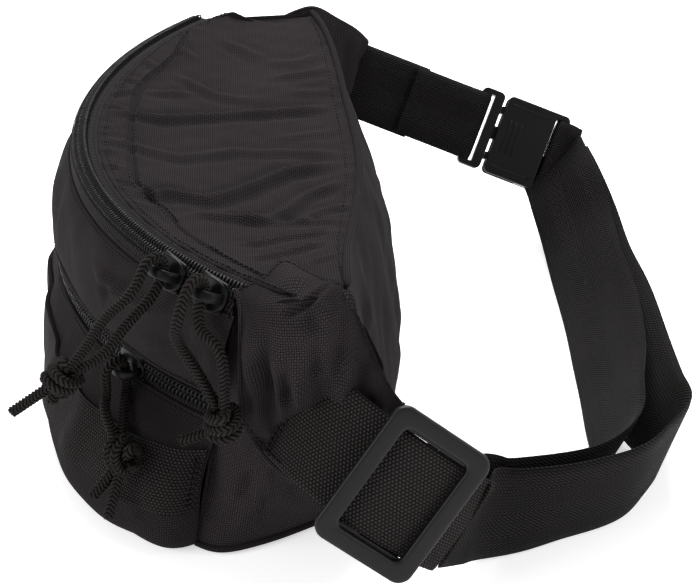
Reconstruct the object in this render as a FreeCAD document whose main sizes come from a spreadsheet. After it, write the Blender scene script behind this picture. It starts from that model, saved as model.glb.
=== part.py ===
import FreeCAD, Part
import math
import os
import Sketcher

V = FreeCAD.Vector

# ----------------------------------------------------------------------------
# Waist pack with a two-zip body, padded back, side wings, a doubled waist belt
# with a tri-glide adjuster and a side-release buckle.
# Frame: +X along the pack (towards the adjuster end), -Y out of the front,
# +Y towards the wearer and the belt loop, +Z up. Millimetres.
# Origin: centre of the whole object's box in X and Y, on the surface it
# stands on in Z.
# ----------------------------------------------------------------------------
doc = FreeCAD.newDocument("waist_pack")
sheet = doc.addObject("Spreadsheet::Sheet", "Dimensions")
SIZES = [
    # the whole object is moved by this so that its box is centred
    ("origin_x", -8.635), ("origin_y", -11.814),
    # fabric
    ("wall", 2.0), ("back_pad", 7.0), ("base_thick", 2.2),
    # main zip: an arc about one axis, in a plane that drops towards +X
    ("main_cx", -8.5), ("main_cy", 86.0), ("main_radius", 195.5), ("main_height", 119.4), ("main_slope", -0.029),
    ("main_near_deg", -41.2), ("main_far_deg", -131.4),
    # front pocket zip: a second arc below it
    ("pocket_cx", -16.5), ("pocket_cy", 51.2), ("pocket_radius", 174.5), ("pocket_height", 67.6), ("pocket_slope", -0.08),
    ("pocket_near_deg", -36.4), ("pocket_far_deg", -133.0),
    # lid: the front segment of the top panel
    ("lid_near_x", 97.2), ("lid_far_x", -112.6), ("lid_tape_near_x", 103.0), ("lid_tape_far_x", -118.0), ("lid_fold_y", -60.0), ("lid_fold_z", 117.4),
    # webbing
    ("belt_width", 40.0), ("belt_thick", 1.7), ("band_width", 25.0), ("band_thick", 1.5),
    # tri-glide adjuster
    ("glide_long", 57.0), ("glide_short", 42.0), ("glide_open_long", 43.0), ("glide_open_short", 27.5), ("glide_thick", 3.6),
    ("glide_centre_bar", 5.0), ("glide_bend_radius", 49.4), ("glide_corner", 5.5),
    # side-release buckle
    ("buckle_width", 44.0), ("female_length", 36.0), ("female_thick", 11.0), ("cavity_depth", 22.0), ("cavity_width", 35.0), ("cavity_height", 6.4),
    ("male_length", 13.0), ("male_thick", 6.0), ("buckle_slot", 4.4), ("buckle_slot_width", 38.0), ("buckle_corner", 3.0),
    ("prong_length", 21.0), ("prong_wide", 4.2), ("prong_head", 6.2), ("prong_thick", 5.4),
    # zip sliders and cord pulls
    ("slider_length", 15.0), ("slider_width", 12.4), ("slider_plate", 1.6), ("bridge_width", 4.0), ("bridge_gap", 7.4), ("bridge_bar", 1.8),
    ("cord_dia", 4.6), ("knot_long", 20.0), ("knot_wide", 14.0),
    ("main_a_deg", -50.0), ("main_b_deg", -43.9), ("pocket_c_deg", -51.0),
]
for i, (word, value) in enumerate(SIZES):
    sheet.set("A%d" % (i + 1), word)
    sheet.set("B%d" % (i + 1), "%g" % value)
    sheet.setAlias("B%d" % (i + 1), word)
doc.recompute()


def D(word):
    return float(sheet.get(word))


SHIFT = V(D("origin_x"), D("origin_y"), 0)
MADE = []


# ---------------------------------------------------------------- vector help
def vec(p):
    return V(*p)


def unit(v):
    v = V(v)
    v.normalize()
    return v


def lerp(a, b, f):
    return a + (b - a) * f


def table(rows, s):
    """Value of a station table at s: rows are (s, (x, y, z))."""
    for (s0, p0), (s1, p1) in zip(rows, rows[1:]):
        if s <= s1 + 1e-9:
            f = (s - s0) / (s1 - s0)
            return vec(p0) + (vec(p1) - vec(p0)) * f
    return vec(rows[-1][1])


# ---------------------------------------------------------------- the zip arcs
def arc_frame(name):
    """Centre and axes of a zip's arc: u along +X down the slope, v along +Y, n its axis."""
    a = D(name + "_slope")
    u = unit(V(1, 0, a))
    v = V(0, 1, 0)
    n = u.cross(v)
    c = V(D(name + "_cx"), D(name + "_cy"), D(name + "_height") + a * D(name + "_cx"))
    return c, u, v, n


def arc(name, deg, dr=0.0, dn=0.0):
    c, u, v, n = arc_frame(name)
    t = math.radians(deg)
    return c + (u * math.cos(t) + v * math.sin(t)) * (D(name + "_radius") + dr) + n * dn


def arc_deg_at_x(name, x):
    """Angle at which the arc passes a given X on its front side."""
    c, u, v, n = arc_frame(name)
    return -math.degrees(math.acos((x - c.x) / (D(name + "_radius") * u.x)))


# ---------------------------------------------------------------- solid makers
def loft(sections):
    """A closed solid of flat triangles through sections. A section lists its outer points, then its inner points in reverse, so that its ends close pair by pair."""
    n = len(sections[0])
    faces = []

    def tri(a, b, c):
        if (b - a).cross(c - a).Length > 1e-7:
            faces.append(Part.Face(Part.makePolygon([a, b, c, a])))

    for p, q in zip(sections, sections[1:]):
        for k in range(n):
            j = (k + 1) % n
            tri(p[k], p[j], q[j])
            tri(p[k], q[j], q[k])
    for pts in (sections[0], sections[-1]):
        for k in range(n // 2 - 1):
            a, b, c, d = pts[k], pts[k + 1], pts[n - 2 - k], pts[n - 1 - k]
            tri(a, b, c)
            tri(a, c, d)
    shell = Part.Shell(faces)
    shell.sewShape()
    s = Part.Solid(shell)
    if s.Volume < 0:
        s.reverse()
    return s


def strip(rows, thick, width=None, lift=0.0):
    """A flat strap: rows are (lower edge, upper edge) along its length. width trims or stretches each row about its middle."""
    lo = [vec(r[0]) for r in rows]
    hi = [vec(r[1]) for r in rows]
    mid = [(a + b) * 0.5 for a, b in zip(lo, hi)]
    secs = []
    for i in range(len(rows)):
        a, b = max(0, i - 1), min(len(rows) - 1, i + 1)
        tan = unit(mid[b] - mid[a])
        w = unit(hi[i] - lo[i])
        n = unit(tan.cross(w))
        half = (width if width else (hi[i] - lo[i]).Length) / 2
        m = mid[i] + n * lift
        secs.append([m - w * half - n * (thick / 2), m - w * half + n * (thick / 2),
                     m + w * half + n * (thick / 2), m + w * half - n * (thick / 2)])
    return loft(secs)


def wall_loft(rows, thick, centre):
    """A thin wall: rows are outer profiles, top to bottom, and the wall's thickness goes towards a vertical line at centre."""
    secs = []
    for prof in rows:
        outer = [vec(p) for p in prof]
        inner = []
        for p in outer:
            d = V(centre[0] - p.x, centre[1] - p.y, 0)
            inner.append(p + unit(d) * thick)
        secs.append(outer + inner[::-1])
    return loft(secs)


def feature(label, shape):
    o = doc.addObject("Part::Feature", label)
    o.Label = label
    o.Shape = shape
    o.Placement = FreeCAD.Placement(SHIFT, FreeCAD.Rotation())
    MADE.append(o)
    return o


def frame_placement(origin, ex, ey):
    """Placement of a piece modelled in its own frame, whose X and Y axes lie along ex and ey."""
    ex = unit(ex)
    ez = unit(ex.cross(ey))
    ey = ez.cross(ex)
    m = FreeCAD.Matrix(ex.x, ey.x, ez.x, origin.x + SHIFT.x, ex.y, ey.y, ez.y, origin.y + SHIFT.y, ex.z, ey.z, ez.z, origin.z, 0, 0, 0, 1)
    return FreeCAD.Placement(m)


def origin_plane(b, role):
    for f in b.Origin.OriginFeatures:
        if f.Role == role:
            return f
    raise RuntimeError("no plane " + role)


def new_body(label, placement):
    b = doc.addObject("PartDesign::Body", label)
    b.Label = label
    b.Placement = placement
    MADE.append(b)
    return b


def block(b, kind, name, size, at):
    """A pad or a pocket with a rectangular sketch on the body's XY plane. size = (along x, along y, along z) and at = (middle x, middle y, lowest z), all expressions."""
    s = b.newObject("Sketcher::SketchObject", name + "_sketch")
    s.AttachmentSupport = (origin_plane(b, "XY_Plane"), [""])
    s.MapMode = "FlatFace"
    q = [V(-5, -4, 0), V(5, -4, 0), V(5, 4, 0), V(-5, 4, 0)]
    for i in range(4):
        s.addGeometry(Part.LineSegment(q[i], q[(i + 1) % 4]), False)
    for i in range(4):
        s.addConstraint(Sketcher.Constraint("Coincident", i, 2, (i + 1) % 4, 1))
    s.addConstraint(Sketcher.Constraint("Horizontal", 0))
    s.addConstraint(Sketcher.Constraint("Vertical", 1))
    s.addConstraint(Sketcher.Constraint("Horizontal", 2))
    s.addConstraint(Sketcher.Constraint("Vertical", 3))
    s.addConstraint(Sketcher.Constraint("Symmetric", 0, 1, 2, 1, -1, 1))
    c1 = s.addConstraint(Sketcher.Constraint("DistanceX", 0, 1, 0, 2, 10))
    c2 = s.addConstraint(Sketcher.Constraint("DistanceY", 1, 1, 1, 2, 8))
    s.setExpression("Constraints[%d]" % c1, size[0])
    s.setExpression("Constraints[%d]" % c2, size[1])
    s.setExpression(".AttachmentOffset.Base.x", at[0])
    s.setExpression(".AttachmentOffset.Base.y", at[1])
    top = "(%s) + (%s)" % (at[2], size[2])
    s.setExpression(".AttachmentOffset.Base.z", at[2] if kind == "Pad" else top)
    f = b.newObject("PartDesign::" + kind, name)
    f.Profile = (s, [""])
    f.setExpression("Length", size[2])
    doc.recompute()
    return f


def round_upright(b, feat, name, expr, pick):
    """Rounds the feature's edges that run along Z and that pick(x, y) accepts."""
    edges = []
    for i, e in enumerate(feat.Shape.Edges):
        p, q = e.Vertexes[0].Point, e.Vertexes[-1].Point
        if abs(p.x - q.x) < 1e-4 and abs(p.y - q.y) < 1e-4 and abs(p.z - q.z) > 0.5:
            lp = b.Placement.inverse().multVec(p) if False else p
            if pick(lp.x, lp.y):
                edges.append("Edge%d" % (i + 1))
    f = b.newObject("PartDesign::Fillet", name)
    f.Base = (feat, edges)
    f.setExpression("Radius", expr)
    doc.recompute()
    return f


S = "Dimensions."

# ---------------------------------------------------------------- pack body
# Front wall stations: s runs from the near (+X) front seam to the far one.
STATIONS = [0, .04, .09, .17, .27, .38, .5, .62, .73, .83, .91, .96, 1]
BELLY = [(0, (130, -60, 28)), (.04, (134, -71, 28)), (.09, (129, -84.5, 28)), (.17, (112, -101, 28)), (.27, (84, -118, 28)), (.38, (45, -127, 28)),
         (.5, (0, -131, 28)), (.62, (-46, -130, 28)), (.73, (-84, -122, 28)), (.83, (-112, -108, 28)), (.91, (-129, -93, 28)), (.96, (-136, -82.5, 28)), (1, (-137, -73, 28))]
FOOT = [(0, (134.5, -64, 2.5)), (.04, (140, -74, 2.5)), (.09, (136, -87, 2.5)), (.17, (122, -104, 2.5)), (.27, (94, -120, 2.5)), (.38, (52, -128, 2.5)),
        (.5, (0, -128, 2.5)), (.62, (-50, -127, 2.5)), (.73, (-90, -120, 2.5)), (.83, (-118, -107, 2.5)), (.91, (-133, -92, 2.5)), (.96, (-138, -82, 2.5)), (1, (-136, -72, 2.5))]
# Back panel stations, near to far: seam on top, swell at mid height, foot.
BACK = [((147, -6, 119), (134, 2, 60), (112, 8, 2.5)), ((129, -5, 116.5), (120, 4, 58), (103, 10, 2.5)), ((96, -2, 110), (92, 9, 56), (84, 13, 2.5)),
        ((56, 4, 105), (55, 17, 52), (52, 18, 2.5)), ((28, 8, 104), (28, 22, 50), (28, 21, 2.5)), ((0, 10, 104.5), (0, 26, 48), (0, 23.5, 2.5)),
        ((-33, 9.5, 107), (-33, 28, 48), (-33, 25, 2.5)), ((-66, 8, 111), (-66, 28, 50), (-66, 24, 2.5)), ((-109, 5, 118), (-105, 22, 55), (-100, 18, 2.5)),
        ((-130, 1.5, 121), (-125, 14, 58), (-115, 13, 2.5)), ((-147, -3, 122.5), (-136, 4, 60), (-120, 8, 2.5))]
# Side panels, from the front seam round to the back corner: top, middle, foot.
SIDE_NEAR = [((139.6, -43.6, 112.5), (124, -52.3, 58), (134, -64, 2.5)), ((143, -36, 113.5), (134, -45, 56), (139, -54, 2.5)), ((145.5, -26, 114.5), (139, -33, 56), (136, -40, 2.5)),
             ((147, -15, 116), (140, -17, 56), (129, -24, 2.5)), ((147, -6.6, 117), (134.4, 1, 58), (112.5, 6.6, 2.5))]
SIDE_FAR = [((-147, -3.6, 120.5), (-136.4, 3.4, 58), (-120.5, 6.6, 2.5)), ((-148, -15, 120), (-143, -15, 58), (-133, -20, 2.5)), ((-147, -28, 120), (-144, -33, 60), (-140, -40, 2.5)),
            ((-145, -44, 120), (-142, -52, 66), (-141, -56, 2.5)), ((-141, -60, 119.5), (-136, -76, 76), (-136, -72, 2.5))]


def back_seam(x):
    rows = [r[0] for r in BACK]
    for a, b in zip(rows, rows[1:]):
        if x <= a[0] and x >= b[0]:
            f = (a[0] - x) / (a[0] - b[0])
            return vec(a) + (vec(b) - vec(a)) * f
    return vec(rows[0] if x > 0 else rows[-1])


W = D("wall")

# back panel: a thick padded slab with a swell at mid height
rows = []
for top, mid, foot in BACK:
    outer = [vec(top) + V(0, 0, -0.4), vec(mid), vec(foot)]
    inner = [p + V(0, -D("back_pad"), 0) for p in outer]
    inner[0] = inner[0] + V(0, 0, -1.6)
    rows.append(outer + inner[::-1])
feature("back_panel", loft(rows))

# base: a flat plate inside the foot line
foot_line = [vec(table(FOOT, s)) for s in STATIONS]
outline = [V(p.x, p.y, 0) for p in foot_line]
outline += [V(r[2][0], r[2][1], 0) for r in SIDE_FAR[::-1][1:-1]]
outline += [V(r[2][0], r[2][1], 0) for r in BACK[::-1]]
outline += [V(r[2][0], r[2][1], 0) for r in SIDE_NEAR[::-1][1:-1]]
base_face = Part.Face(Part.makePolygon(outline + [outline[0]]))
feature("bottom_panel", base_face.extrude(V(0, 0, D("base_thick"))))


def main_deg(s):
    return lerp(D("main_near_deg"), D("main_far_deg"), s)


def pocket_deg(s):
    return lerp(D("pocket_near_deg"), D("pocket_far_deg"), s)


# upper front wall, between the two zips
rows = []
for s in STATIONS:
    top = arc("main", main_deg(s), 2.6, -9.0)
    bot = arc("pocket", pocket_deg(s), -0.6, 5.6)
    mid = (top + bot) * 0.5 + unit(V(top.x * 0.6, top.y + 10, 0)) * 2.5
    rows.append([top, mid, bot])
feature("front_panel_upper", wall_loft(rows, W, (0, -10)))

# pocket wall, from the pocket zip down to the base
rows = []
for s in STATIONS:
    rows.append([arc("pocket", pocket_deg(s), 0.2, -5.6), table(BELLY, s), table(FOOT, s)])
feature("pocket_panel", wall_loft(rows, W, (0, -10)))

# divider between the main compartment and the front pocket
rows = []
for s in (.06, .13, .22, .32, .42, .5, .58, .68, .78, .87, .94):
    rows.append([arc("pocket", pocket_deg(s), -14.0 - 10 * math.sin(math.pi * s), 3.0),
                 table(BELLY, s) + unit(V(-table(BELLY, s).x, -10 - table(BELLY, s).y, 0)) * (7 + 13 * math.sin(math.pi * s)),
                 table(FOOT, s) + unit(V(-table(FOOT, s).x, -10 - table(FOOT, s).y, 0)) * (7 + 11 * math.sin(math.pi * s))])
feature("divider_lining", wall_loft(rows, 1.2, (0, -10)))

# side panels
feature("side_panel_near", wall_loft([list(r) for r in SIDE_NEAR], W, (0, -25)))
feature("side_panel_far", wall_loft([list(r) for r in SIDE_FAR], W, (0, -30)))

# top panel: one fixed rear part and the lid, which folds up along a chord
XS = [142, 134, 124, 114, 105, 97.61, 97.6, 84, 56, 28, 0, -33, -66, -92, -113.0, -113.01, -119, -128, -137, -141]
fold_y, fold_z = D("lid_fold_y"), D("lid_fold_z")


def top_front(x, inset):
    """The top panel's front edge: the zip arc, stepped back by inset."""
    c, u, v, n = arc_frame("main")
    r = D("main_radius") - inset
    deg = -math.degrees(math.acos((x - c.x) / (r * u.x)))
    return arc("main", deg, -inset, -0.4)


def top_row(x, a, b):
    """A thin strip of the top panel at one X, from Y a to Y b, on the line from the back seam to the zip."""
    back, front = back_seam(x), top_front(x, 9.4)
    out = []
    for y in (a, b):
        f = (back.y - y) / max(1.0, back.y - front.y)
        p = back + (front - back) * f
        out.append(V(x, y, p.z - 5.0 * math.sin(math.pi * min(1, max(0, f)))))
    return [out[0], out[1], out[1] + V(0, 0, -W), out[0] + V(0, 0, -W)]


rows = []
for x in XS:
    back, front = back_seam(x), top_front(x, 9.6)
    if D("lid_far_x") - 0.405 < x < D("lid_near_x") + 0.405:
        rows.append(top_row(x, back.y - 0.4, fold_y + 0.4))
    else:
        rows.append(top_row(x, back.y - 0.4, front.y))
feature("top_panel_rear", loft(rows))

rows = []
LX = [97.2, 84, 56, 28, 0, -33, -66, -92, -112.6]
for x in LX:
    rows.append(top_row(x, fold_y - 0.4, top_front(x, 9.3).y))
feature("lid_panel", loft(rows))


def tape(name, d0, d1, prof, n):
    """A zip tape along an arc: prof is its section as (out from the arc, up along its axis)."""
    rows = []
    for i in range(n + 1):
        d = lerp(d0, d1, i / n)
        rows.append([arc(name, d, r, h) for r, h in prof])
    return loft(rows)


lid_a, lid_b = arc_deg_at_x("main", D("lid_tape_near_x")), arc_deg_at_x("main", D("lid_tape_far_x"))
feature("lid_zipper_tape", tape("main", lid_a, lid_b, [(-9.0, -0.2), (-0.5, 0.0), (-0.5, -2.2), (-9.0, -2.0)], 14))
feature("main_zipper_tape_inner_near", tape("main", D("main_near_deg"), lid_a + 0.15, [(-9.0, -0.2), (-0.5, 0.0), (-0.5, -2.2), (-9.0, -2.0)], 4))
feature("main_zipper_tape_inner_far", tape("main", lid_b - 0.15, D("main_far_deg"), [(-9.0, -0.2), (-0.5, 0.0), (-0.5, -2.2), (-9.0, -2.0)], 4))
feature("main_zipper_tape_outer", tape("main", D("main_near_deg"), D("main_far_deg"), [(0.5, 0.0), (2.6, -0.6), (5.4, -8.6), (3.4, -8.6), (1.3, -2.6), (0.5, -2.2)], 18))
feature("pocket_zipper_tape_upper", tape("pocket", D("pocket_near_deg"), D("pocket_far_deg"), [(0.6, 0.4), (0.2, 5.3), (-1.8, 5.3), (-1.4, 0.4)], 18))
feature("pocket_zipper_tape_lower", tape("pocket", D("pocket_near_deg"), D("pocket_far_deg"), [(0.6, -0.4), (0.8, -5.3), (-1.2, -5.3), (-1.4, -0.4)], 18))

# lash band sewn round the front of the pocket
rows = []
band_s = [.004, .03, .06, .09, .13, .17, .22, .27, .32, .38, .44, .5, .56, .62, .68, .73, .78, .83, .87, .91, .96, .996]
for s in band_s:
    p = table(BELLY, s)
    out = unit(V(p.x, p.y + 10, 0))
    top = p + (arc("pocket", pocket_deg(s), 0.2, -5.6) - p) * 0.52
    low = p + (table(FOOT, s) - p) * 0.3
    w = unit(top - low)
    m = (top + low) * 0.5 + out * (2.6 - 1.2 * s)
    rows.append((m - w * 12.5, m + w * 12.5))
feature("front_webbing_band", strip(rows, D("band_thick"), D("band_width")))

# ---------------------------------------------------------------- wings
# Near wing: stands off the near side panel and narrows to the webbing.
NEAR_WING = [((141, -44, 62), (141.8, -42.6, 111)), ((145.6, -34, 46), (147, -33, 112)), ((146.5, -22, 36), (149, -20, 115)), ((147, -12, 34), (150, -7, 118.5)),
             ((148.5, -2, 36), (152.3, 1, 99)), ((150, 6, 40), (153.5, 8, 84)), ((152, 13, 46), (154.6, 14, 76))]
feature("wing_near", strip(NEAR_WING, 1.6, None, 0.0))
FAR_WING = [((-146, -42, 64), (-147.5, -42, 113)), ((-149, -30, 50), (-150, -30, 114)), ((-150.5, -15, 40), (-151.5, -15, 118)), ((-149, -4, 38), (-152, -1, 122)),
            ((-147, 5, 42), (-159, 11, 114)), ((-148, 12, 52), (-163, 22, 106)), ((-152.5, 18, 61), (-168, 30, 97))]
feature("wing_far", strip(FAR_WING, 1.6, None, 0.0))

# ---------------------------------------------------------------- tri-glide and the strap through it
GLIDE_C = V(174, 11, 51.4)
GLIDE_L = unit(V(0.26, -0.60, -0.75))      # along the bars, downwards
GLIDE_T = unit(V(0.12, 0.82, -0.55))       # along the strap, towards the belt
GLIDE_T = unit(GLIDE_T - GLIDE_L * GLIDE_T.dot(GLIDE_L))
GLIDE_N = GLIDE_L.cross(GLIDE_T)            # out of its face
R = D("glide_bend_radius")
ARC_O = GLIDE_C - GLIDE_N * R


def on_arc(deg, lift=0.0):
    a = math.radians(deg)
    return ARC_O + (GLIDE_N * math.cos(a) + GLIDE_T * math.sin(a)) * (R + lift)


def arc_rows(d0, d1, n, lift=0.0, width=None):
    w = GLIDE_L * ((width or D("belt_width")) / 2)
    return [(on_arc(lerp(d0, d1, i / n), lift) + w, on_arc(lerp(d0, d1, i / n), lift) - w) for i in range(n + 1)]


rows = arc_rows(-60, 38, 14)
half = GLIDE_L * (D("belt_width") / 2)
for i, extra in ((0, 9.0), (1, 6.0), (2, 3.0)):
    rows[i] = (rows[i][0], on_arc(lerp(-60, 38, i / 14) - extra) - half)
feature("wing_webbing_near", strip(rows, D("belt_thick")))
feature("belt_end_loop", strip(arc_rows(4.4, 24, 4, -4.6), D("belt_thick"), D("belt_width")))

g = new_body("tri_glide", frame_placement(GLIDE_C, GLIDE_L, GLIDE_T))
f = block(g, "Pad", "glide_plate", (S + "glide_long", S + "glide_short", S + "glide_thick"), ("0", "0", "-0.4"))
f = round_upright(g, f, "glide_corners", S + "glide_corner", lambda x, y: True)
block(g, "Pocket", "glide_opening", (S + "glide_open_long", S + "glide_open_short", S + "glide_thick + 2"), ("0", "0", "-1.4"))
side = "(%sglide_long - %sglide_open_long) / 2" % (S, S)
for k, sign in (("low", "-1"), ("high", "1")):
    block(g, "Pad", "glide_lug_" + k, (side, S + "glide_centre_bar", "4.4"), ("%s * (%sglide_open_long / 2 + %s / 2)" % (sign, S, side), "0", "-4.2"))
block(g, "Pad", "glide_bar", (S + "glide_open_long + 2", S + "glide_centre_bar", "2.6"), ("0", "0", "-4.2"))

# ---------------------------------------------------------------- the belt
# Rows are (edge on the table side, top edge), from the buckle round to the tri-glide.
INNER = [((-128.5, 112.5, 27.5), (-142, 143, 54.5)), ((-118, 114.5, 24), (-128, 144.5, 50)), ((-105, 116, 19.5), (-113, 145.5, 45)), ((-88, 117.5, 13), (-94, 148.5, 34)),
         ((-60, 116.5, 5), (-63, 148, 28)), ((-31, 115, 1.6), (-34, 147.5, 25)), ((-7, 113, 1.2), (-9, 145.5, 25)), ((20, 110, 1.2), (22, 140, 28)), ((51, 107, 1.2), (56, 132, 32)),
         ((78, 104, 1.2), (86, 123, 36)), ((100, 101, 1.2), (107, 117, 38)), ((118, 93, 1), (122, 107, 39)), ((130, 83, 1), (133, 94, 39.5)), ((138, 70, .9), (139, 78, 40.2)),
         ((142, 57, .9), (141.5, 62, 40.6)), ((146.5, 46, 2.6), (143.5, 50, 42.4)), ((155, 34, 9), (147, 44, 47.2))]
OUTER = [((-131, 118, 20), (-144, 149, 45)), ((-118, 119.5, 17.5), (-128, 150, 43)), ((-105, 121, 13.5), (-113, 151.5, 39)), ((-88, 122.5, 7), (-93, 154.5, 30)),
         ((-60, 122, 1.2), (-63, 155.5, 22.5)), ((-31, 121.5, 1.0), (-34, 156, 21)), ((0, 119.5, 1.0), (1, 153.5, 22.5)), ((28, 117.5, 1.0), (31, 149.5, 25)), ((58, 117.5, 1.0), (62, 144.5, 30)),
         ((80, 121, 1.0), (86, 141, 35)), ((101, 126, .9), (105, 137, 39)), ((118, 117, .9), (122, 124, 40)), ((131, 105, .9), (136, 110, 40.4)), ((138, 91, .9), (142.5, 96, 40.6)),
         ((143, 76, .9), (147, 80, 40.8)), ((148, 62, .9), (148.5, 66, 40.8)), ((152.5, 49, 2.2), (150.5, 53, 42)), ((158.5, 39, 6.0), (154.5, 47, 45))]
a38 = arc_rows(38.6, 38.6, 1)[0]
OUTER.append(((a38[0] * 0.5 + V(158.5, 39, 6.0) * 0.5), (a38[1] * 0.5 + V(154.5, 47, 45) * 0.5)))
OUTER.append(a38)
OUTER = [(vec(a) if isinstance(a, tuple) else a, vec(b) if isinstance(b, tuple) else b) for a, b in OUTER]
INNER.append(tuple(arc_rows(31, 31, 1, -9.0)[0]))
INNER = [(vec(a) if isinstance(a, tuple) else a, vec(b) if isinstance(b, tuple) else b) for a, b in INNER]
feature("belt_inner_strap", strip(INNER, D("belt_thick"), D("belt_width")))
feature("belt_outer_strap", strip(OUTER, D("belt_thick"), D("belt_width")))

# ---------------------------------------------------------------- side-release buckle and far strap
# Buckle frame: x along the strap towards the belt, y up the strap's width, z to the inside of the belt loop.
BK_X = unit(V(0.211, 0.920, -0.331))
BK_Y = V(-0.421, 0.391, 0.818)
BK_Y = unit(BK_Y - BK_X * BK_Y.dot(BK_X))
BK_Z = BK_X.cross(BK_Y)
BK_O = V(-144.7, 84.7, 56.5)
bk = frame_placement(BK_O, BK_X, BK_Y)

fem = new_body("buckle_female", bk)
f = block(fem, "Pad", "female_shell", (S + "female_length", S + "buckle_width", S + "female_thick"), ("15 + %sfemale_length / 2" % S, "0", "-%sfemale_thick / 2" % S))
f = round_upright(fem, f, "female_corners", S + "buckle_corner", lambda x, y: True)
block(fem, "Pocket", "female_cavity", (S + "cavity_depth + 4", S + "cavity_width", S + "cavity_height"), ("15 + (%scavity_depth - 4) / 2" % S, "0", "-%scavity_height / 2" % S))
block(fem, "Pocket", "female_windows", (S + "cavity_depth", S + "buckle_width + 4", S + "cavity_height"), ("15 + (%scavity_depth - 4) / 2 - 1" % S, "0", "-%scavity_height / 2" % S))
block(fem, "Pocket", "female_slot", (S + "buckle_slot", S + "buckle_slot_width", S + "female_thick + 4"), ("15 + %sfemale_length - 3.2 - %sbuckle_slot / 2" % (S, S), "0", "-%sfemale_thick / 2 - 2" % S))

mal = new_body("buckle_male", bk)
f = block(mal, "Pad", "male_base", (S + "male_length", S + "buckle_width", S + "male_thick"), ("%smale_length / 2" % S, "0", "-%smale_thick / 2" % S))
f = round_upright(mal, f, "male_corners", S + "buckle_corner", lambda x, y: True)
block(mal, "Pocket", "male_slot", (S + "buckle_slot", S + "buckle_slot_width", S + "male_thick + 4"), ("3.2 + %sbuckle_slot / 2" % S, "0", "-%smale_thick / 2 - 2" % S))
block(mal, "Pad", "male_guide", ("%sprong_length + 1" % S, "7", "%sprong_thick - 0.4" % S), ("%smale_length - 1 + (%sprong_length + 1) / 2" % (S, S), "0", "-(%sprong_thick - 0.4) / 2" % S))

for side_name, sg in (("upper", "1"), ("lower", "-1")):
    pr = new_body("buckle_prong_" + side_name, bk)
    block(pr, "Pad", "prong_arm_" + side_name, (S + "prong_length", S + "prong_wide", S + "prong_thick"),
          ("%smale_length + 0.3 + %sprong_length / 2" % (S, S), "%s * 13.2" % sg, "-%sprong_thick / 2" % S))
    f = block(pr, "Pad", "prong_barb_" + side_name, ("11", S + "prong_head", S + "prong_thick"),
              ("%smale_length + 0.3 + %sprong_length - 7" % (S, S), "%s * (14.8 + %sprong_head / 2)" % (sg, S), "-%sprong_thick / 2" % S))


def bk_pt(x, y, z):
    return BK_O + BK_X * x + BK_Y * y + BK_Z * z


def bk_rows(x0, x1, n, z):
    h = D("belt_width") / 2
    return [(bk_pt(lerp(x0, x1, i / n), -h, z), bk_pt(lerp(x0, x1, i / n), h, z)) for i in range(n + 1)]


# far strap: a plain strip from the wing; the male half's own strap is a loop round its bar, either side of it
feature("far_strap", strip(bk_rows(-74, -31, 6, 0), D("belt_thick"), D("belt_width")))
h = D("belt_width") / 2 - 1.2
gap, th = 2.0, D("belt_thick")
prof = []
for x, z in ((-37, gap), (-4, gap), (1.2, 2.9)):
    prof.append((x, z))
leg_x0, leg_x1 = -37, -0.4
leg1 = Part.makeBox(leg_x1 - leg_x0, 2 * h, th, V(leg_x0, -h, gap - 0.3))
leg2 = Part.makeBox(leg_x1 - leg_x0, 2 * h, th, V(leg_x0, -h, -gap + 0.3 - th))
web = Part.makeBox(th, 2 * h, 2 * (gap - 0.3) + 2 * th, V(leg_x1 - 0.01, -h, -gap + 0.3 - th))
loop = leg1.fuse([leg2, web]).removeSplitter()
o = doc.addObject("Part::Feature", "male_strap_loop")
o.Label = "male_strap_loop"
o.Shape = loop
o.Placement = bk
MADE.append(o)


# ---------------------------------------------------------------- zip sliders
def slider(label, name, deg, out_tilt):
    c, u, v, n = arc_frame(name)
    t = math.radians(deg)
    er = u * math.cos(t) + v * math.sin(t)
    et = u * -math.sin(t) + v * math.cos(t)
    if name == "pocket":
        up = er
    else:
        up = unit(n * 0.45 + er * 0.8)
    p = arc(name, deg, 0 if name == "pocket" else 3.0, 0 if name == "pocket" else -3.4)
    # own frame: x along the chain, y across it, z away from the bag
    b = new_body(label, frame_placement(p, et, up.cross(et)))
    f = block(b, "Pad", label + "_plate", (S + "slider_length", S + "slider_width", S + "slider_plate"), ("0", "0", "1.5"))
    round_upright(b, f, label + "_corners", "3", lambda x, y: True)
    for k, sign in (("a", "-1"), ("b", "1")):
        block(b, "Pad", label + "_post_" + k, ("2.2", S + "bridge_width", S + "bridge_gap + %sbridge_bar - 0.2" % S), ("%s * 5" % sign, "0", "1.2 + %sslider_plate - 0.2" % S))
    block(b, "Pad", label + "_bar", ("12.2", S + "bridge_width", S + "bridge_bar"), ("0", "0", "1.2 + %sslider_plate + %sbridge_gap - 0.4" % (S, S)))
    return p, et, up, up.cross(et)


SL_A = slider("main_slider_a", "main", D("main_a_deg"), 0)
SL_B = slider("main_slider_b", "main", D("main_b_deg"), 0)
SL_C = slider("pocket_slider", "pocket", D("pocket_c_deg"), 0)


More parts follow.
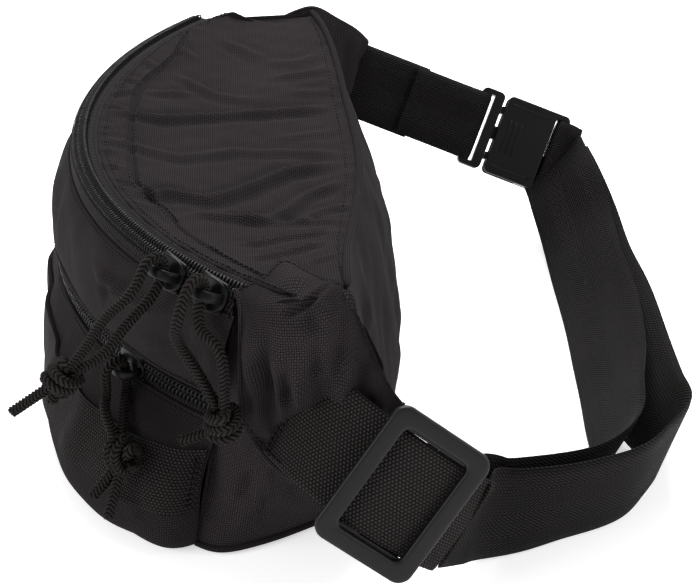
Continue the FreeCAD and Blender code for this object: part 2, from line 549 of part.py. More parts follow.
# ---------------------------------------------------------------- cord pulls
def tube(label, pts, dia):
    """A round cord along straight runs joined by tangent arcs."""
    P = [vec(p) for p in pts]
    edges, cur, radii = [], P[0], []
    for i in range(1, len(P) - 1):
        a, b, c = P[i - 1], P[i], P[i + 1]
        d1, d2 = unit(b - a), unit(c - b)
        turn = math.acos(max(-1, min(1, d1.dot(d2))))
        t = 0.45 * min((b - a).Length, (c - b).Length)
        r = t / math.tan(turn / 2)
        s, e = b - d1 * t, b + d2 * t
        bis = unit(d2 - d1)
        ctr = b + bis * math.sqrt(r * r + t * t)
        m = ctr - bis * r
        edges.append(Part.LineSegment(cur, s).toShape())
        edges.append(Part.Arc(s, m, e).toShape())
        cur = e
        radii.append(r)
    edges.append(Part.LineSegment(cur, P[-1]).toShape())
    path = Part.Wire(edges)
    prof = Part.Wire(Part.makeCircle(dia / 2, P[0], unit(P[1] - P[0])))
    sol = path.makePipeShell([prof], True, False)
    if not sol.Solids:
        raise RuntimeError(label + ": no solid")
    sol = sol.Solids[0]
    want = math.pi * dia * dia / 4 * path.Length
    print(label, "length", round(path.Length, 1), "radii", [round(r, 1) for r in radii], "volume ratio", round(sol.Volume / want, 3))
    feature(label, sol)
    return path.Length


def knot(label, at, along, across, tails):
    """A tied knot: a full ball-like body with cord tails."""
    a, r = D("knot_long") / 2, D("knot_wide") / 2
    pts = [V(-a * math.cos(math.pi * i / 12), r * math.sin(math.pi * i / 12), 0) for i in range(13)]
    prof = Part.Face(Part.makePolygon(pts + [pts[0]]))
    e = prof.revolve(V(0, 0, 0), V(1, 0, 0), 360)
    e = Part.Solid(e.Shells[0]) if e.ShapeType != "Solid" else e
    if e.Volume < 0:
        e.reverse()
    shapes = []
    pl = frame_placement(vec(at), along, across)
    inv = pl.inverse()
    for end in tails:
        q = inv.multVec(vec(end) + SHIFT)
        shapes.append(Part.makeCylinder(D("cord_dia") / 2, q.Length, V(0, 0, 0), q))
    s = e.fuse(shapes).removeSplitter() if shapes else e
    o = doc.addObject("Part::Feature", label)
    o.Label = label
    o.Shape = s
    o.Placement = pl
    MADE.append(o)


# Each pull is one cord, doubled through the slider's bridge and tied to itself in a knot.
def at_slider(sl, x, y, z):
    p, et, up, ey = sl
    return p + et * x + ey * y + up * z


KNOT_A, KNOT_B, KNOT_C = V(123.4, -109.6, 73.3), V(148.7, -50.4, 67.5), V(126.7, -90.1, 39.7)


def toward(a, b, short):
    """The point on the run from a to b that stops short of b."""
    a, b = vec(a), vec(b)
    return b - unit(b - a) * short


# The fold round the bridge bar is centred on the bar, so that the pull can swing about it.
BAR = 10.7
NEAR_LEG, FAR_LEG = BAR - 4.8, BAR + 4.8


def fold(sl, reach=9):
    return [at_slider(sl, 0, -reach, FAR_LEG), at_slider(sl, 0, 4.9, FAR_LEG), at_slider(sl, 0, 4.9, NEAR_LEG), at_slider(sl, 0, -reach, NEAR_LEG)]


CORD_ROUTES = {
    "a": [toward((124.2, -98.7, 87.6), KNOT_A, 6), (124.2, -98.7, 87.6), (126.8, -92.1, 100.2)] + fold(SL_A) +
         [(124.2, -84.4, 95.8), (123.5, -93.9, 81.3), toward((123.5, -93.9, 81.3), KNOT_A, 6)],
    "b": [toward((143.0, -58.3, 84.9), KNOT_B, 6), (143.0, -58.3, 84.9), (141.6, -66.0, 98.5)] + fold(SL_B, 12) +
         [(146.2, -50.2, 97.5), (148.5, -49.2, 84.0), toward((148.5, -49.2, 84.0), KNOT_B, 6)],
    "c": [toward((109.4, -97.9, 48.9), KNOT_C, 6), (109.4, -97.9, 48.9)] + fold(SL_C) + [(109.0, -90.8, 46.6), toward((109.0, -90.8, 46.6), KNOT_C, 6)],
}
CORDS = {}
for k in "abc":
    CORDS[k] = tube("pull_cord_" + k, [tuple(p) for p in CORD_ROUTES[k]], D("cord_dia"))
knot("pull_knot_a", KNOT_A, V(0, -0.77, -0.64), V(1, 0, 0), [(122.9, -129.5, 59.0), (125.7, -113.9, 64.5)])
knot("pull_knot_b", KNOT_B, V(0, 0, -1), V(0.7, 0.7, 0), [(149.0, -66.1, 60.7)])
knot("pull_knot_c", KNOT_C, V(0.776, 0.63, 0), V(0, 0, 1), [(133.4, -101.7, 26.2), (140.1, -96.0, 21.1)])

# ---------------------------------------------------------------- check and write
doc.recompute()
bad = []
for o in doc.Objects:
    if "Invalid" in o.State or "Error" in o.State:
        bad.append((o.Name, o.State))
for o in MADE:
    s = o.Shape
    if s.isNull() or not s.isValid() or s.Volume < 1:
        bad.append((o.Label, "null, not valid or empty", 0 if s.isNull() else s.Volume))
if bad:
    raise RuntimeError("failed objects: %s" % bad)
os.makedirs("parts", exist_ok=True)
box = FreeCAD.BoundBox()
for o in MADE:
    bb = o.Shape.BoundBox
    box.add(bb)
    print("%-30s solids %d volume %9.1f  x %7.1f %7.1f  y %7.1f %7.1f  z %7.1f %7.1f" % (o.Label, len(o.Shape.Solids), o.Shape.Volume, bb.XMin, bb.XMax, bb.YMin, bb.YMax, bb.ZMin, bb.ZMax))
    o.Shape.exportStep("parts/%s.step" % o.Label)
print("box", box, "nodes", len(MADE))
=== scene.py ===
import bpy
import math
import numpy as np
from mathutils import Vector, Matrix


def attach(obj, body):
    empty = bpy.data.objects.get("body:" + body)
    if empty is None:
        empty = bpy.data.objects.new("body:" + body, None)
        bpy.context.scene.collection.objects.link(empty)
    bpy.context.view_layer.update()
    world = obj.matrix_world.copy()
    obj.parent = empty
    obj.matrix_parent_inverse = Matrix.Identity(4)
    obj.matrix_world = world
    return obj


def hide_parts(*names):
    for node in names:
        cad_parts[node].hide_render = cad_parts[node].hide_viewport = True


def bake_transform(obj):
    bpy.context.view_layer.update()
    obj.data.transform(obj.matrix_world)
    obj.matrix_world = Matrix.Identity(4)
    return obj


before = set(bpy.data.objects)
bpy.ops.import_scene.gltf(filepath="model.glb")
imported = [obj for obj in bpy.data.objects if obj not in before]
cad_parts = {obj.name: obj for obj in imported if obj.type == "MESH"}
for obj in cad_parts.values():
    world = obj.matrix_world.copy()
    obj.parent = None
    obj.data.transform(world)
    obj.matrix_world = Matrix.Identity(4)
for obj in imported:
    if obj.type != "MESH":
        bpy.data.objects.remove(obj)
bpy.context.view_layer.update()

# Design millimetres, as in the CAD source, moved to the shared frame.
SH = np.array([-8.635, -11.814, 0.0])


def M(p):
    return (np.asarray(p, float) + SH) / 1000.0


def A3(*p):
    return np.array(p, float)


def unit(v):
    v = np.asarray(v, float)
    return v / np.maximum(np.linalg.norm(v, axis=-1, keepdims=True), 1e-12)


# ------------------------------------------------------------------ camera, floor, light
cam = bpy.data.cameras.new("camera")
cam.sensor_width = 36.0
cam.lens = 1405.0 / 700.0 * 36.0
cam.clip_start, cam.clip_end = 0.02, 20
cam_ob = bpy.data.objects.new("camera", cam)
bpy.context.scene.collection.objects.link(cam_ob)
pitch, yaw = math.radians(29.4), math.radians(4.6)
fw = Vector((-math.cos(yaw) * math.cos(pitch), math.sin(yaw) * math.cos(pitch), -math.sin(pitch)))
cam_ob.location = Vector(M((566.1, -38.7, 355.4)))
cam_ob.rotation_euler = fw.to_track_quat("-Z", "Y").to_euler()
bpy.context.scene.camera = cam_ob
bpy.context.scene.view_settings.view_transform = "Standard"

world = bpy.data.worlds.new("studio")
bpy.context.scene.world = world
world.use_nodes = True
world.node_tree.nodes["Background"].inputs[0].default_value = (1, 1, 1, 1)
world.node_tree.nodes["Background"].inputs[1].default_value = 0.42


def area(name, loc, target, size, power, color=(1, 1, 1)):
    l = bpy.data.lights.new(name, "AREA")
    l.shape = "RECTANGLE"
    l.size, l.size_y = size
    l.energy = power
    l.color = color
    o = bpy.data.objects.new(name, l)
    bpy.context.scene.collection.objects.link(o)
    o.location = loc
    o.rotation_euler = (Vector(target) - Vector(loc)).to_track_quat("-Z", "Y").to_euler()
    return o


area("top_soft", (-0.85, 0.05, 1.15), (0, 0, 0.05), (0.9, 0.9), 27)
area("left_strip", (0.5, -1.3, 0.75), (0.05, 0, 0.06), (0.9, 0.5), 10)
area("right_fill", (0.6, 1.2, 0.7), (0.05, 0, 0.05), (0.8, 0.6), 7)

fm = bpy.data.meshes.new("floor")
fm.from_pydata([(-6, -6, 0), (6, -6, 0), (6, 6, 0), (-6, 6, 0)], [], [(0, 1, 2, 3)])
floor = bpy.data.objects.new("floor", fm)
bpy.context.scene.collection.objects.link(floor)
floor.location.z = -0.0004


# ------------------------------------------------------------------ materials
class Nodes:
    """A small helper to write node graphs in one line each."""

    def __init__(self, name, base, rough=0.8, spec=0.3, sheen=0.0, sheen_rough=0.5, coat=0.0, metal=0.0):
        m = bpy.data.materials.new(name)
        m.use_nodes = True
        self.m, self.t = m, m.node_tree
        self.b = self.t.nodes["Principled BSDF"]
        self.b.inputs["Base Color"].default_value = (*base, 1)
        self.b.inputs["Roughness"].default_value = rough
        self.b.inputs["Specular IOR Level"].default_value = spec
        self.b.inputs["Sheen Weight"].default_value = sheen
        self.b.inputs["Sheen Roughness"].default_value = sheen_rough
        self.b.inputs["Coat Weight"].default_value = coat
        self.b.inputs["Coat Roughness"].default_value = 0.08
        self.b.inputs["Metallic"].default_value = metal

    def n(self, kind, **kw):
        x = self.t.nodes.new(kind)
        for k, v in kw.items():
            setattr(x, k, v)
        return x

    def link(self, a, b):
        self.t.links.new(a, b)

    def math(self, op, a, b=None):
        x = self.n("ShaderNodeMath", operation=op)
        for i, v in enumerate((a, b)):
            if v is None:
                continue
            if isinstance(v, (int, float)):
                x.inputs[i].default_value = v
            else:
                self.link(v, x.inputs[i])
        return x.outputs[0]

    def uv(self):
        c = self.n("ShaderNodeUVMap")
        s = self.n("ShaderNodeSeparateXYZ")
        self.link(c.outputs[0], s.inputs[0])
        return c.outputs[0], s.outputs[0], s.outputs[1]

    def obj(self):
        return self.n("ShaderNodeTexCoord").outputs["Object"]

    def noise(self, vec, scale, detail=3.0, rough=0.55):
        x = self.n("ShaderNodeTexNoise")
        x.inputs["Scale"].default_value = scale
        x.inputs["Detail"].default_value = detail
        x.inputs["Roughness"].default_value = rough
        self.link(vec, x.inputs["Vector"])
        return x.outputs[0]

    def ramp(self, fac, lo, hi, c0, c1):
        x = self.n("ShaderNodeValToRGB")
        x.color_ramp.elements[0].position = lo
        x.color_ramp.elements[1].position = hi
        x.color_ramp.elements[0].color = (*c0, 1)
        x.color_ramp.elements[1].color = (*c1, 1)
        self.link(fac, x.inputs[0])
        return x.outputs[0]

    def bump(self, h, strength, dist, prev=None):
        x = self.n("ShaderNodeBump")
        x.inputs["Strength"].default_value = strength
        x.inputs["Distance"].default_value = dist
        self.link(h, x.inputs["Height"])
        if prev is not None:
            self.link(prev, x.inputs["Normal"])
        return x.outputs[0]

    def mix(self, fac, a, b, kind="MIX"):
        x = self.n("ShaderNodeMix", data_type="RGBA", blend_type=kind)
        if isinstance(fac, (int, float)):
            x.inputs[0].default_value = fac
        else:
            self.link(fac, x.inputs[0])
        for v, i in ((a, 6), (b, 7)):
            if isinstance(v, tuple):
                x.inputs[i].default_value = (*v, 1)
            else:
                self.link(v, x.inputs[i])
        return x.outputs[2]


def fabric(name, base, pitch=0.00075, bump=0.5, dist=0.00025, dark=0.22, light=2.3, rough=0.92, sheen=0.0, lint_and_edge_highlight=True):
    """Plain basket weave along the piece's own UVs, which are in metres."""
    N = Nodes(name, base, rough, 0.05, sheen, 0.45)
    vec, u, v = N.uv()
    k = 2 * math.pi / pitch / 2
    su, sv = N.math("SINE", N.math("MULTIPLY", u, k)), N.math("SINE", N.math("MULTIPLY", v, k))
    # warp shows where su*sv is positive, weft where it is negative
    cell = N.math("MULTIPLY", su, sv)
    h = N.math("POWER", N.math("ABSOLUTE", cell), 0.5)
    fine = N.noise(N.obj(), 2600, 2)
    height = N.math("ADD", h, N.math("MULTIPLY", fine, 0.25))
    nrm = N.bump(height, bump, dist)
    big = N.noise(N.obj(), 22, 5, 0.6)
    nrm = N.bump(big, 0.22, 0.0022, nrm)
    N.link(nrm, N.b.inputs["Normal"])
    # painted shade and light: the colour follows the weave's height, darker by dark in the hollows between threads and
    # lighter by light on the thread crowns
    c = N.ramp(h, 0.05, 0.9, tuple(x * dark for x in base), tuple(x * light for x in base))
    warp = N.math("GREATER_THAN", cell, 0)
    c = N.mix(1.0, c, N.ramp(warp, 0.3, 0.7, (0.86, 0.86, 0.87), (1.13, 1.12, 1.12)), "MULTIPLY")
    mott = N.ramp(N.noise(N.obj(), 9, 6, 0.7), 0.3, 0.75, (0.86, 0.86, 0.88), (1.14, 1.12, 1.1))
    c = N.mix(1.0, c, mott, "MULTIPLY")
    if lint_and_edge_highlight:
        lint = N.ramp(N.noise(N.obj(), 900, 1), 0.74, 0.8, (0, 0, 0), (0.016, 0.015, 0.016))
        c = N.mix(1.0, c, lint, "ADD")
    N.link(c, N.b.inputs["Base Color"])
    return N.m


def webbing(name, base, across=0.0017, along=0.0022, bump=0.9, dist=0.0005, twill=False, rough=0.78, dark=0.35, light=1.5):
    """Ribbed webbing: u runs along the strap, v across it, both in metres."""
    N = Nodes(name, base, rough, 0.08, 0.0, 0.4)
    vec, u, v = N.uv()
    if twill:
        # fine diagonal rows that turn over at each band of the width: a herringbone
        band = N.math("PINGPONG", v, twill)
        d = N.math("ADD", N.math("MULTIPLY", u, 2 * math.pi / along), N.math("MULTIPLY", band, 2 * math.pi / across * 0.9))
        rib = N.math("POWER", N.math("ADD", N.math("MULTIPLY", N.math("SINE", d), 0.5), 0.5), 0.7)
        cross = N.math("POWER", N.math("ABSOLUTE", N.math("SINE", N.math("MULTIPLY", v, math.pi / across))), 0.6)
        h = N.math("MULTIPLY", rib, cross)
    else:
        row = N.math("FLOOR", N.math("DIVIDE", v, across))
        odd = N.math("MODULO", row, 2.0)
        su = N.math("SINE", N.math("ADD", N.math("MULTIPLY", u, 2 * math.pi / along), N.math("MULTIPLY", odd, math.pi)))
        rib = N.math("POWER", N.math("ADD", N.math("MULTIPLY", su, 0.5), 0.5), 0.6)
        cross = N.math("POWER", N.math("ABSOLUTE", N.math("SINE", N.math("MULTIPLY", v, math.pi / across))), 0.55)
        h = N.math("MULTIPLY", N.math("ADD", N.math("MULTIPLY", rib, 0.88), 0.12), cross)
    fine = N.noise(N.obj(), 3200, 2)
    nrm = N.bump(N.math("ADD", h, N.math("MULTIPLY", fine, 0.2)), bump, dist)
    N.link(nrm, N.b.inputs["Normal"])
    # painted shade and light: the colour follows the rib height, darker by dark in the grooves between ribs and lighter
    # by light on the rib crowns
    c = N.ramp(h, 0.05, 0.85, tuple(x * dark for x in base), tuple(x * light for x in base))
    mott = N.ramp(N.noise(N.obj(), 14, 5, 0.7), 0.3, 0.75, (0.85, 0.85, 0.85), (1.15, 1.14, 1.13))
    N.link(N.mix(1.0, c, mott, "MULTIPLY"), N.b.inputs["Base Color"])
    return N.m


def plastic(name, base, rough, grain, coat=0.0, spec=0.5, edge=0.0):
    N = Nodes(name, base, rough, spec, coat=coat)
    g = N.noise(N.obj(), grain, 3)
    nrm = N.bump(g, 0.12, 0.00012)
    N.link(nrm, N.b.inputs["Normal"])
    c = N.ramp(N.noise(N.obj(), 60, 5, 0.7), 0.3, 0.8, tuple(x * 0.85 for x in base), tuple(x * 1.2 for x in base))
    # painted highlight: with edge set, convex edges, where pointiness is high, are lightened by edge in the base colour
    if edge:
        geo = N.n("ShaderNodeNewGeometry")
        lint_and_edge_highlight = N.ramp(geo.outputs["Pointiness"], 0.52, 0.6, (0, 0, 0), (edge, edge, edge))
        c = N.mix(1.0, c, lint_and_edge_highlight, "ADD")
    N.link(c, N.b.inputs["Base Color"])
    r = N.ramp(N.noise(N.obj(), 35, 4), 0.3, 0.8, (rough * 0.85,) * 3, (min(1, rough * 1.2),) * 3)
    N.link(r, N.b.inputs["Roughness"])
    return N.m


FAB = (0.0138, 0.0118, 0.0125)
# the dark and light factors below set each material's painted shade in the hollows of its weave and painted light on
# its crowns
mat_top = fabric("oxford_top", FAB, 0.00090, 0.7, 0.0003)
mat_wall = fabric("oxford_wall", tuple(x * 0.92 for x in FAB), 0.00090, 0.75, 0.00035)
mat_wing = fabric("oxford_wing", tuple(x * 1.27 for x in FAB), 0.00088, 0.9, 0.0004)
mat_back = fabric("back_mesh", tuple(x * 0.8 for x in FAB), 0.0022, 1.0, 0.0009, dark=0.25)
mat_base = fabric("oxford_base", tuple(x * 0.8 for x in FAB), 0.0009, 0.7, 0.0003)
mat_lining = fabric("lining", (0.012, 0.011, 0.012), 0.0005, 0.3, 0.0001, sheen=0.2)
mat_tape = webbing("zip_tape", (0.0085, 0.0072, 0.0078), 0.0030, 0.00145, 1.0, 0.0004, twill=0.0042, rough=0.7, dark=0.25, light=2.6)
mat_rib = webbing("ribbed_webbing", (0.0102, 0.0090, 0.0088), 0.00120, 0.00155, 1.0, 0.0008, rough=0.75, dark=0.03, light=3.9)
mat_band = webbing("lash_webbing", (0.0102, 0.0090, 0.0088), 0.00115, 0.0015, 1.0, 0.0008, rough=0.78, dark=0.03, light=3.3)
mat_belt = webbing("belt_webbing", (0.0102, 0.0090, 0.0088), 0.0014, 0.0019, 0.9, 0.0005, twill=0.0105, rough=0.74, dark=0.15, light=1.9)
mat_coil = plastic("coil_nylon", (0.008, 0.0075, 0.008), 0.44, 1500, coat=0.0, spec=0.22)
mat_thread = plastic("thread", (0.0072, 0.0062, 0.0078), 0.7, 3000, spec=0.18)
# edge below sets the glide's painted highlight on its convex edges
mat_glide = plastic("matte_plastic", (0.0062, 0.0058, 0.0060), 0.46, 4200, spec=0.26, edge=0.012)
mat_buckle = plastic("buckle_plastic", (0.0060, 0.0058, 0.0062), 0.40, 1800, coat=0.0, spec=0.2)
mat_metal = plastic("slider_enamel", (0.004, 0.004, 0.0045), 0.42, 900, coat=0.0, spec=0.14)


def cordmat(name, base):
    """Braid: u counts across the strands at 1.6 mm each, v runs along them."""
    N = Nodes(name, base, 0.8, 0.06)
    vec, u, v = N.uv()
    big = N.math("ADD", N.math("MULTIPLY", N.math("COSINE", N.math("MULTIPLY", u, 2 * math.pi / 0.0016)), 0.5), 0.5)
    yarn = N.math("ABSOLUTE", N.math("SINE", N.math("MULTIPLY", N.math("ADD", v, N.math("MULTIPLY", u, 0.35)), math.pi / 0.00042)))
    h = N.math("ADD", big, N.math("MULTIPLY", yarn, 0.35))
    nrm = N.bump(N.math("ADD", h, N.math("MULTIPLY", N.noise(N.obj(), 3000, 2), 0.3)), 0.9, 0.0002)
    N.link(nrm, N.b.inputs["Normal"])
    # painted shade and light: darker in the grooves between strands and lighter on their crowns, then darker again in
    # the fine grooves between yarns
    c = N.ramp(big, 0.03, 0.5, tuple(x * 0.14 for x in base), tuple(x * 1.45 for x in base))
    c = N.mix(1.0, c, N.ramp(yarn, 0.1, 0.8, (0.55, 0.55, 0.55), (1.25, 1.22, 1.2)), "MULTIPLY")
    fuzz = N.ramp(N.noise(N.obj(), 1400, 2), 0.62, 0.75, (0, 0, 0), (0.012, 0.0115, 0.011))
    N.link(N.mix(1.0, c, fuzz, "ADD"), N.b.inputs["Base Color"])
    return N.m


mat_cord = cordmat("braided_cord", (0.0150, 0.0135, 0.0128))
mat_cordcore = fabric("cord_core", (0.004, 0.004, 0.004), 0.0006, 0.3, 0.0001, lint_and_edge_highlight=False)

# ------------------------------------------------------------------ curve and surface help
def cubic(t, P, q):
    """Natural cubic spline through P at knots t, read at q. P may have any trailing shape."""
    t = np.asarray(t, float)
    P = np.asarray(P, float)
    q = np.asarray(q, float)
    n = len(t)
    shp = P.shape[1:]
    P2 = P.reshape(n, -1)
    h = np.diff(t)
    Amat = np.zeros((n, n))
    R = np.zeros((n, P2.shape[1]))
    Amat[0, 0] = Amat[-1, -1] = 1
    for i in range(1, n - 1):
        Amat[i, i - 1], Amat[i, i], Amat[i, i + 1] = h[i - 1], 2 * (h[i - 1] + h[i]), h[i]
        R[i] = 6 * ((P2[i + 1] - P2[i]) / h[i] - (P2[i] - P2[i - 1]) / h[i - 1])
    S2 = np.linalg.solve(Amat, R)
    qi = np.clip(q.ravel(), t[0], t[-1])
    k = np.clip(np.searchsorted(t, qi) - 1, 0, n - 2)
    a = ((t[k + 1] - qi) / h[k])[:, None]
    b = 1 - a
    out = a * P2[k] + b * P2[k + 1] + ((a ** 3 - a) * S2[k] + (b ** 3 - b) * S2[k + 1]) * (h[k] ** 2)[:, None] / 6
    return out.reshape(q.shape + shp)


def chord_t(P):
    P = np.asarray(P, float)
    d = np.linalg.norm(np.diff(P, axis=0), axis=1)
    return np.concatenate([[0], np.cumsum(np.sqrt(d) * np.sqrt(np.maximum(d, 1e-6)))])


def smooth_line(P, step):
    """Points about step apart along a smooth curve through P."""
    P = np.asarray(P, float)
    t = chord_t(P)
    n = max(2, int(math.ceil(t[-1] / step)) + 1)
    return cubic(t, P, np.linspace(0, t[-1], n))


def resample(P, n):
    d = np.concatenate([[0], np.cumsum(np.linalg.norm(np.diff(P, axis=0), axis=1))])
    q = np.linspace(0, d[-1], n)
    return np.stack([np.interp(q, d, P[:, i]) for i in range(P.shape[1])], 1)


def grid_normals(G):
    gu = np.gradient(G, axis=0)
    gv = np.gradient(G, axis=1)
    return unit(np.cross(gu, gv))


def arc_axes(name):
    cx, cy, R, h, sl = {"main": (-8.5, 86, 195.5, 119.4, -0.029), "pocket": (-16.5, 51.2, 174.5, 67.6, -0.08)}[name]
    u = unit(A3(1, 0, sl))
    v = A3(0, 1, 0)
    n = unit(np.cross(u, v))
    return A3(cx, cy, h + sl * cx), u, v, n, R


def arc(name, deg, dr=0.0, dn=0.0):
    c, u, v, n, R = arc_axes(name)
    t = np.radians(np.asarray(deg, float))[..., None]
    dr = np.asarray(dr, float)[..., None]
    dn = np.asarray(dn, float)[..., None]
    return c + (u * np.cos(t) + v * np.sin(t)) * (R + dr) + n * dn


def rnd_wave(P, size, amp, seed, k=7):
    """Smooth cloth-like unevenness, the same on each run."""
    r = np.random.RandomState(seed)
    out = np.zeros(P.shape[:-1])
    for i in range(k):
        d = unit(r.normal(size=3))
        f = 2 * math.pi / (size * (0.6 + 0.9 * r.rand()))
        out += np.sin(P @ d * f + r.rand() * 6.28) * (0.5 + r.rand() * 0.5)
    return out * amp / math.sqrt(k)


def seg_dist(P, line):
    """Distance from points to a polyline, with the share of the way along it and which side."""
    best = np.full(P.shape[:-1], 1e9)
    along = np.zeros(P.shape[:-1])
    L = np.concatenate([[0], np.cumsum(np.linalg.norm(np.diff(line, axis=0), axis=1))])
    for i in range(len(line) - 1):
        a, b = line[i], line[i + 1]
        ab = b - a
        t = np.clip(((P - a) @ ab) / max(ab @ ab, 1e-9), 0, 1)
        d = np.linalg.norm(P - (a + t[..., None] * ab), axis=-1)
        m = d < best
        best = np.where(m, d, best)
        along = np.where(m, (L[i] + t * (L[i + 1] - L[i])) / L[-1], along)
    return best, along


def ridges(P, rows):
    """Height field of creases: rows are (polyline, half width, height, end taper share)."""
    out = np.zeros(P.shape[:-1])
    for line, w, h, tp in rows:
        line = np.asarray(line, float)
        if line.shape[1] == 2:
            Q = P[..., :2]
        else:
            Q = P
        d, s = seg_dist(Q, line)
        e = np.clip(np.minimum(s, 1 - s) / max(tp, 1e-3), 0, 1)
        e = e * e * (3 - 2 * e)
        if tp < 0.01:
            e = 1.0
        out += h * e * (np.exp(-(d / w) ** 2) - 0.45 * np.exp(-((d - 2.1 * w) / (0.9 * w)) ** 2))
    return out


MADE = []


def obj_from(name, verts, faces, mat, uv=None, smooth=True):
    me = bpy.data.meshes.new(name)
    me.from_pydata([tuple(v) for v in verts], [], faces)
    me.materials.append(mat)
    if uv is not None:
        lay = me.uv_layers.new(name="UVMap")
        idx = np.zeros(len(me.loops), int)
        me.loops.foreach_get("vertex_index", idx)
        lay.data.foreach_set("uv", np.asarray(uv, float)[idx].ravel())
    if smooth:
        me.polygons.foreach_set("use_smooth", [True] * len(me.polygons))
    me.update()
    o = bpy.data.objects.new(name, me)
    bpy.context.scene.collection.objects.link(o)
    MADE.append(o)
    return o


def grid_faces(n, m, off=0, flip=False, loop_m=False, loop_n=False):
    F = []
    for i in range(n if loop_n else n - 1):
        for j in range(m if loop_m else m - 1):
            a, b = i * m + j, i * m + (j + 1) % m
            c, d = ((i + 1) % n) * m + (j + 1) % m, ((i + 1) % n) * m + j
            f = (a + off, b + off, c + off, d + off)
            F.append(f[::-1] if flip else f)
    return F


def grid_uv(G):
    """Arc lengths along both ways, in metres."""
    du = np.linalg.norm(np.diff(G, axis=0), axis=2)
    dv = np.linalg.norm(np.diff(G, axis=1), axis=2)
    u = np.concatenate([[0], np.cumsum(du.mean(1))])
    v = np.concatenate([[0], np.cumsum(dv.mean(0))])
    U, Vv = np.meshgrid(u, v, indexing="ij")
    return np.stack([U, Vv], -1).reshape(-1, 2) / 1000.0


def skin(name, G, mat, thick=1.4, flip=False, body="pack", uv=None, closed=False, hem=0.0):
    """A cloth piece from a grid of outer points: outer face, inner face and rounded-off rim."""
    n, m = G.shape[:2]
    N = grid_normals(G)
    if flip:
        N = -N
    if hem:
        pass
    inner = G - N * thick
    V1 = M(G.reshape(-1, 3))
    V2 = M(inner.reshape(-1, 3))
    k = n * m
    F = grid_faces(n, m, 0, flip) + grid_faces(n, m, k, not flip)
    rim = [(i, 0) for i in range(n)] + [(n - 1, j) for j in range(1, m)] + [(i, m - 1) for i in range(n - 2, -1, -1)] + [(0, j) for j in range(m - 2, 0, -1)]
    ids = np.array([i * m + j for i, j in rim])
    nr = len(ids)
    # the rim has its own points, so that the face's shading stays even right up to its edge
    VR = np.concatenate([V1[ids], V2[ids]])
    for a in range(nr):
        b = (a + 1) % nr
        f = (2 * k + a, 2 * k + nr + a, 2 * k + nr + b, 2 * k + b)
        F.append(f if not flip else f[::-1])
    UV = grid_uv(G) if uv is None else uv
    o = obj_from(name, np.concatenate([V1, V2, VR]), F, mat, np.concatenate([UV, UV, UV[ids], UV[ids]]))
    if body:
        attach(o, body)
    return o


def frames_along(P, up=None):
    """Tangent, side and normal at each point, carried along without twist."""
    T = unit(np.gradient(P, axis=0))
    if up is None:
        up = A3(0, 0, 1) if abs(T[0][2]) < 0.9 else A3(1, 0, 0)
    s = unit(np.cross(T[0], up))
    S = [s]
    for i in range(1, len(P)):
        s = S[-1] - T[i] * (S[-1] @ T[i])
        S.append(unit(s))
    S = np.array(S)
    return T, S, np.cross(S, T)


def tube_grid(P, r, k=8, up=None, squash=1.0):
    T, S, N = frames_along(P, up)
    a = np.linspace(0, 2 * math.pi, k, endpoint=False)
    r = np.broadcast_to(np.asarray(r, float), (len(P),))
    return P[:, None, :] + r[:, None, None] * (np.cos(a)[None, :, None] * S[:, None, :] + squash * np.sin(a)[None, :, None] * N[:, None, :])


def push_out(P, G, N, gap):
    """Moves points out until each stands at least gap outside the surface G along its normals N."""
    from mathutils.kdtree import KDTree
    Gf, Nf = G.reshape(-1, 3), N.reshape(-1, 3)
    kd = KDTree(len(Gf))
    for i, p in enumerate(Gf):
        kd.insert(p, i)
    kd.balance()
    out = P.reshape(-1, 3).copy()
    for i, p in enumerate(out):
        co, j, dist = kd.find(p)
        d = float((p - Gf[j]) @ Nf[j])
        if d < gap:
            out[i] = p + Nf[j] * (gap - d)
    return out.reshape(P.shape)


class Bag:
    """Collects many small meshes into one object."""

    def __init__(self):
        self.v, self.f, self.uv, self.n = [], [], [], 0

    def add(self, V1, F, uv=None):
        V1 = np.asarray(V1, float).reshape(-1, 3)
        self.v.append(V1)
        self.f += [tuple(i + self.n for i in f) for f in F]
        self.uv.append(np.zeros((len(V1), 2)) if uv is None else np.asarray(uv, float).reshape(-1, 2))
        self.n += len(V1)

    def tube(self, P, r, k=6, up=None, cap=True, squash=1.0, closed=False):
        G = tube_grid(P, r, k, up, squash)
        n = len(P)
        F = grid_faces(n, k, 0, True, loop_m=True, loop_n=closed)
        L = np.concatenate([[0], np.cumsum(np.linalg.norm(np.diff(P, axis=0), axis=1))]) / 1000
        rr = float(np.mean(r))
        uv = np.stack(np.meshgrid(L, np.arange(k) / k * 2 * math.pi * rr / 1000, indexing="ij"), -1)
        V1 = G.reshape(-1, 3)
        if cap and not closed:
            F.append(tuple(range(k)))
            F.append(tuple(range((n - 1) * k, n * k))[::-1])
        self.add(V1, F, uv)

    def make(self, name, mat, body, slot=None):
        o = obj_from(name, M(np.concatenate(self.v)), self.f, mat, np.concatenate(self.uv))
        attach(o, body)
        return o


def stitch(bag, line, normal, length=2.5, gap=0.9, r=0.3, lift=0.15):
    """A row of thread stitches along a line, each a short bowed strand half sunk in the cloth."""
    line = np.asarray(line, float)
    L = np.concatenate([[0], np.cumsum(np.linalg.norm(np.diff(line, axis=0), axis=1))])
    if np.ndim(normal) == 1:
        normal = np.tile(np.asarray(normal, float), (len(line), 1))
    n = int(L[-1] / (length + gap))
    for i in range(n):
        s0 = (i + 0.15) * (length + gap)
        q = s0 + np.linspace(0, length, 5)
        p = np.stack([np.interp(q, L, line[:, k]) for k in range(3)], 1)
        nn = np.stack([np.interp(q, L, normal[:, k]) for k in range(3)], 1)
        nn = unit(nn)
        bow = np.array([-0.25, 0.75, 1.0, 0.75, -0.25]) * r
        p = p + nn * (bow + lift)[:, None]
        bag.tube(p, np.array([0.55, 1, 1.05, 1, 0.55]) * r, 5, up=nn[2])


def welt(bag, line, r, k=6):
    bag.tube(np.asarray(line, float), r, k)


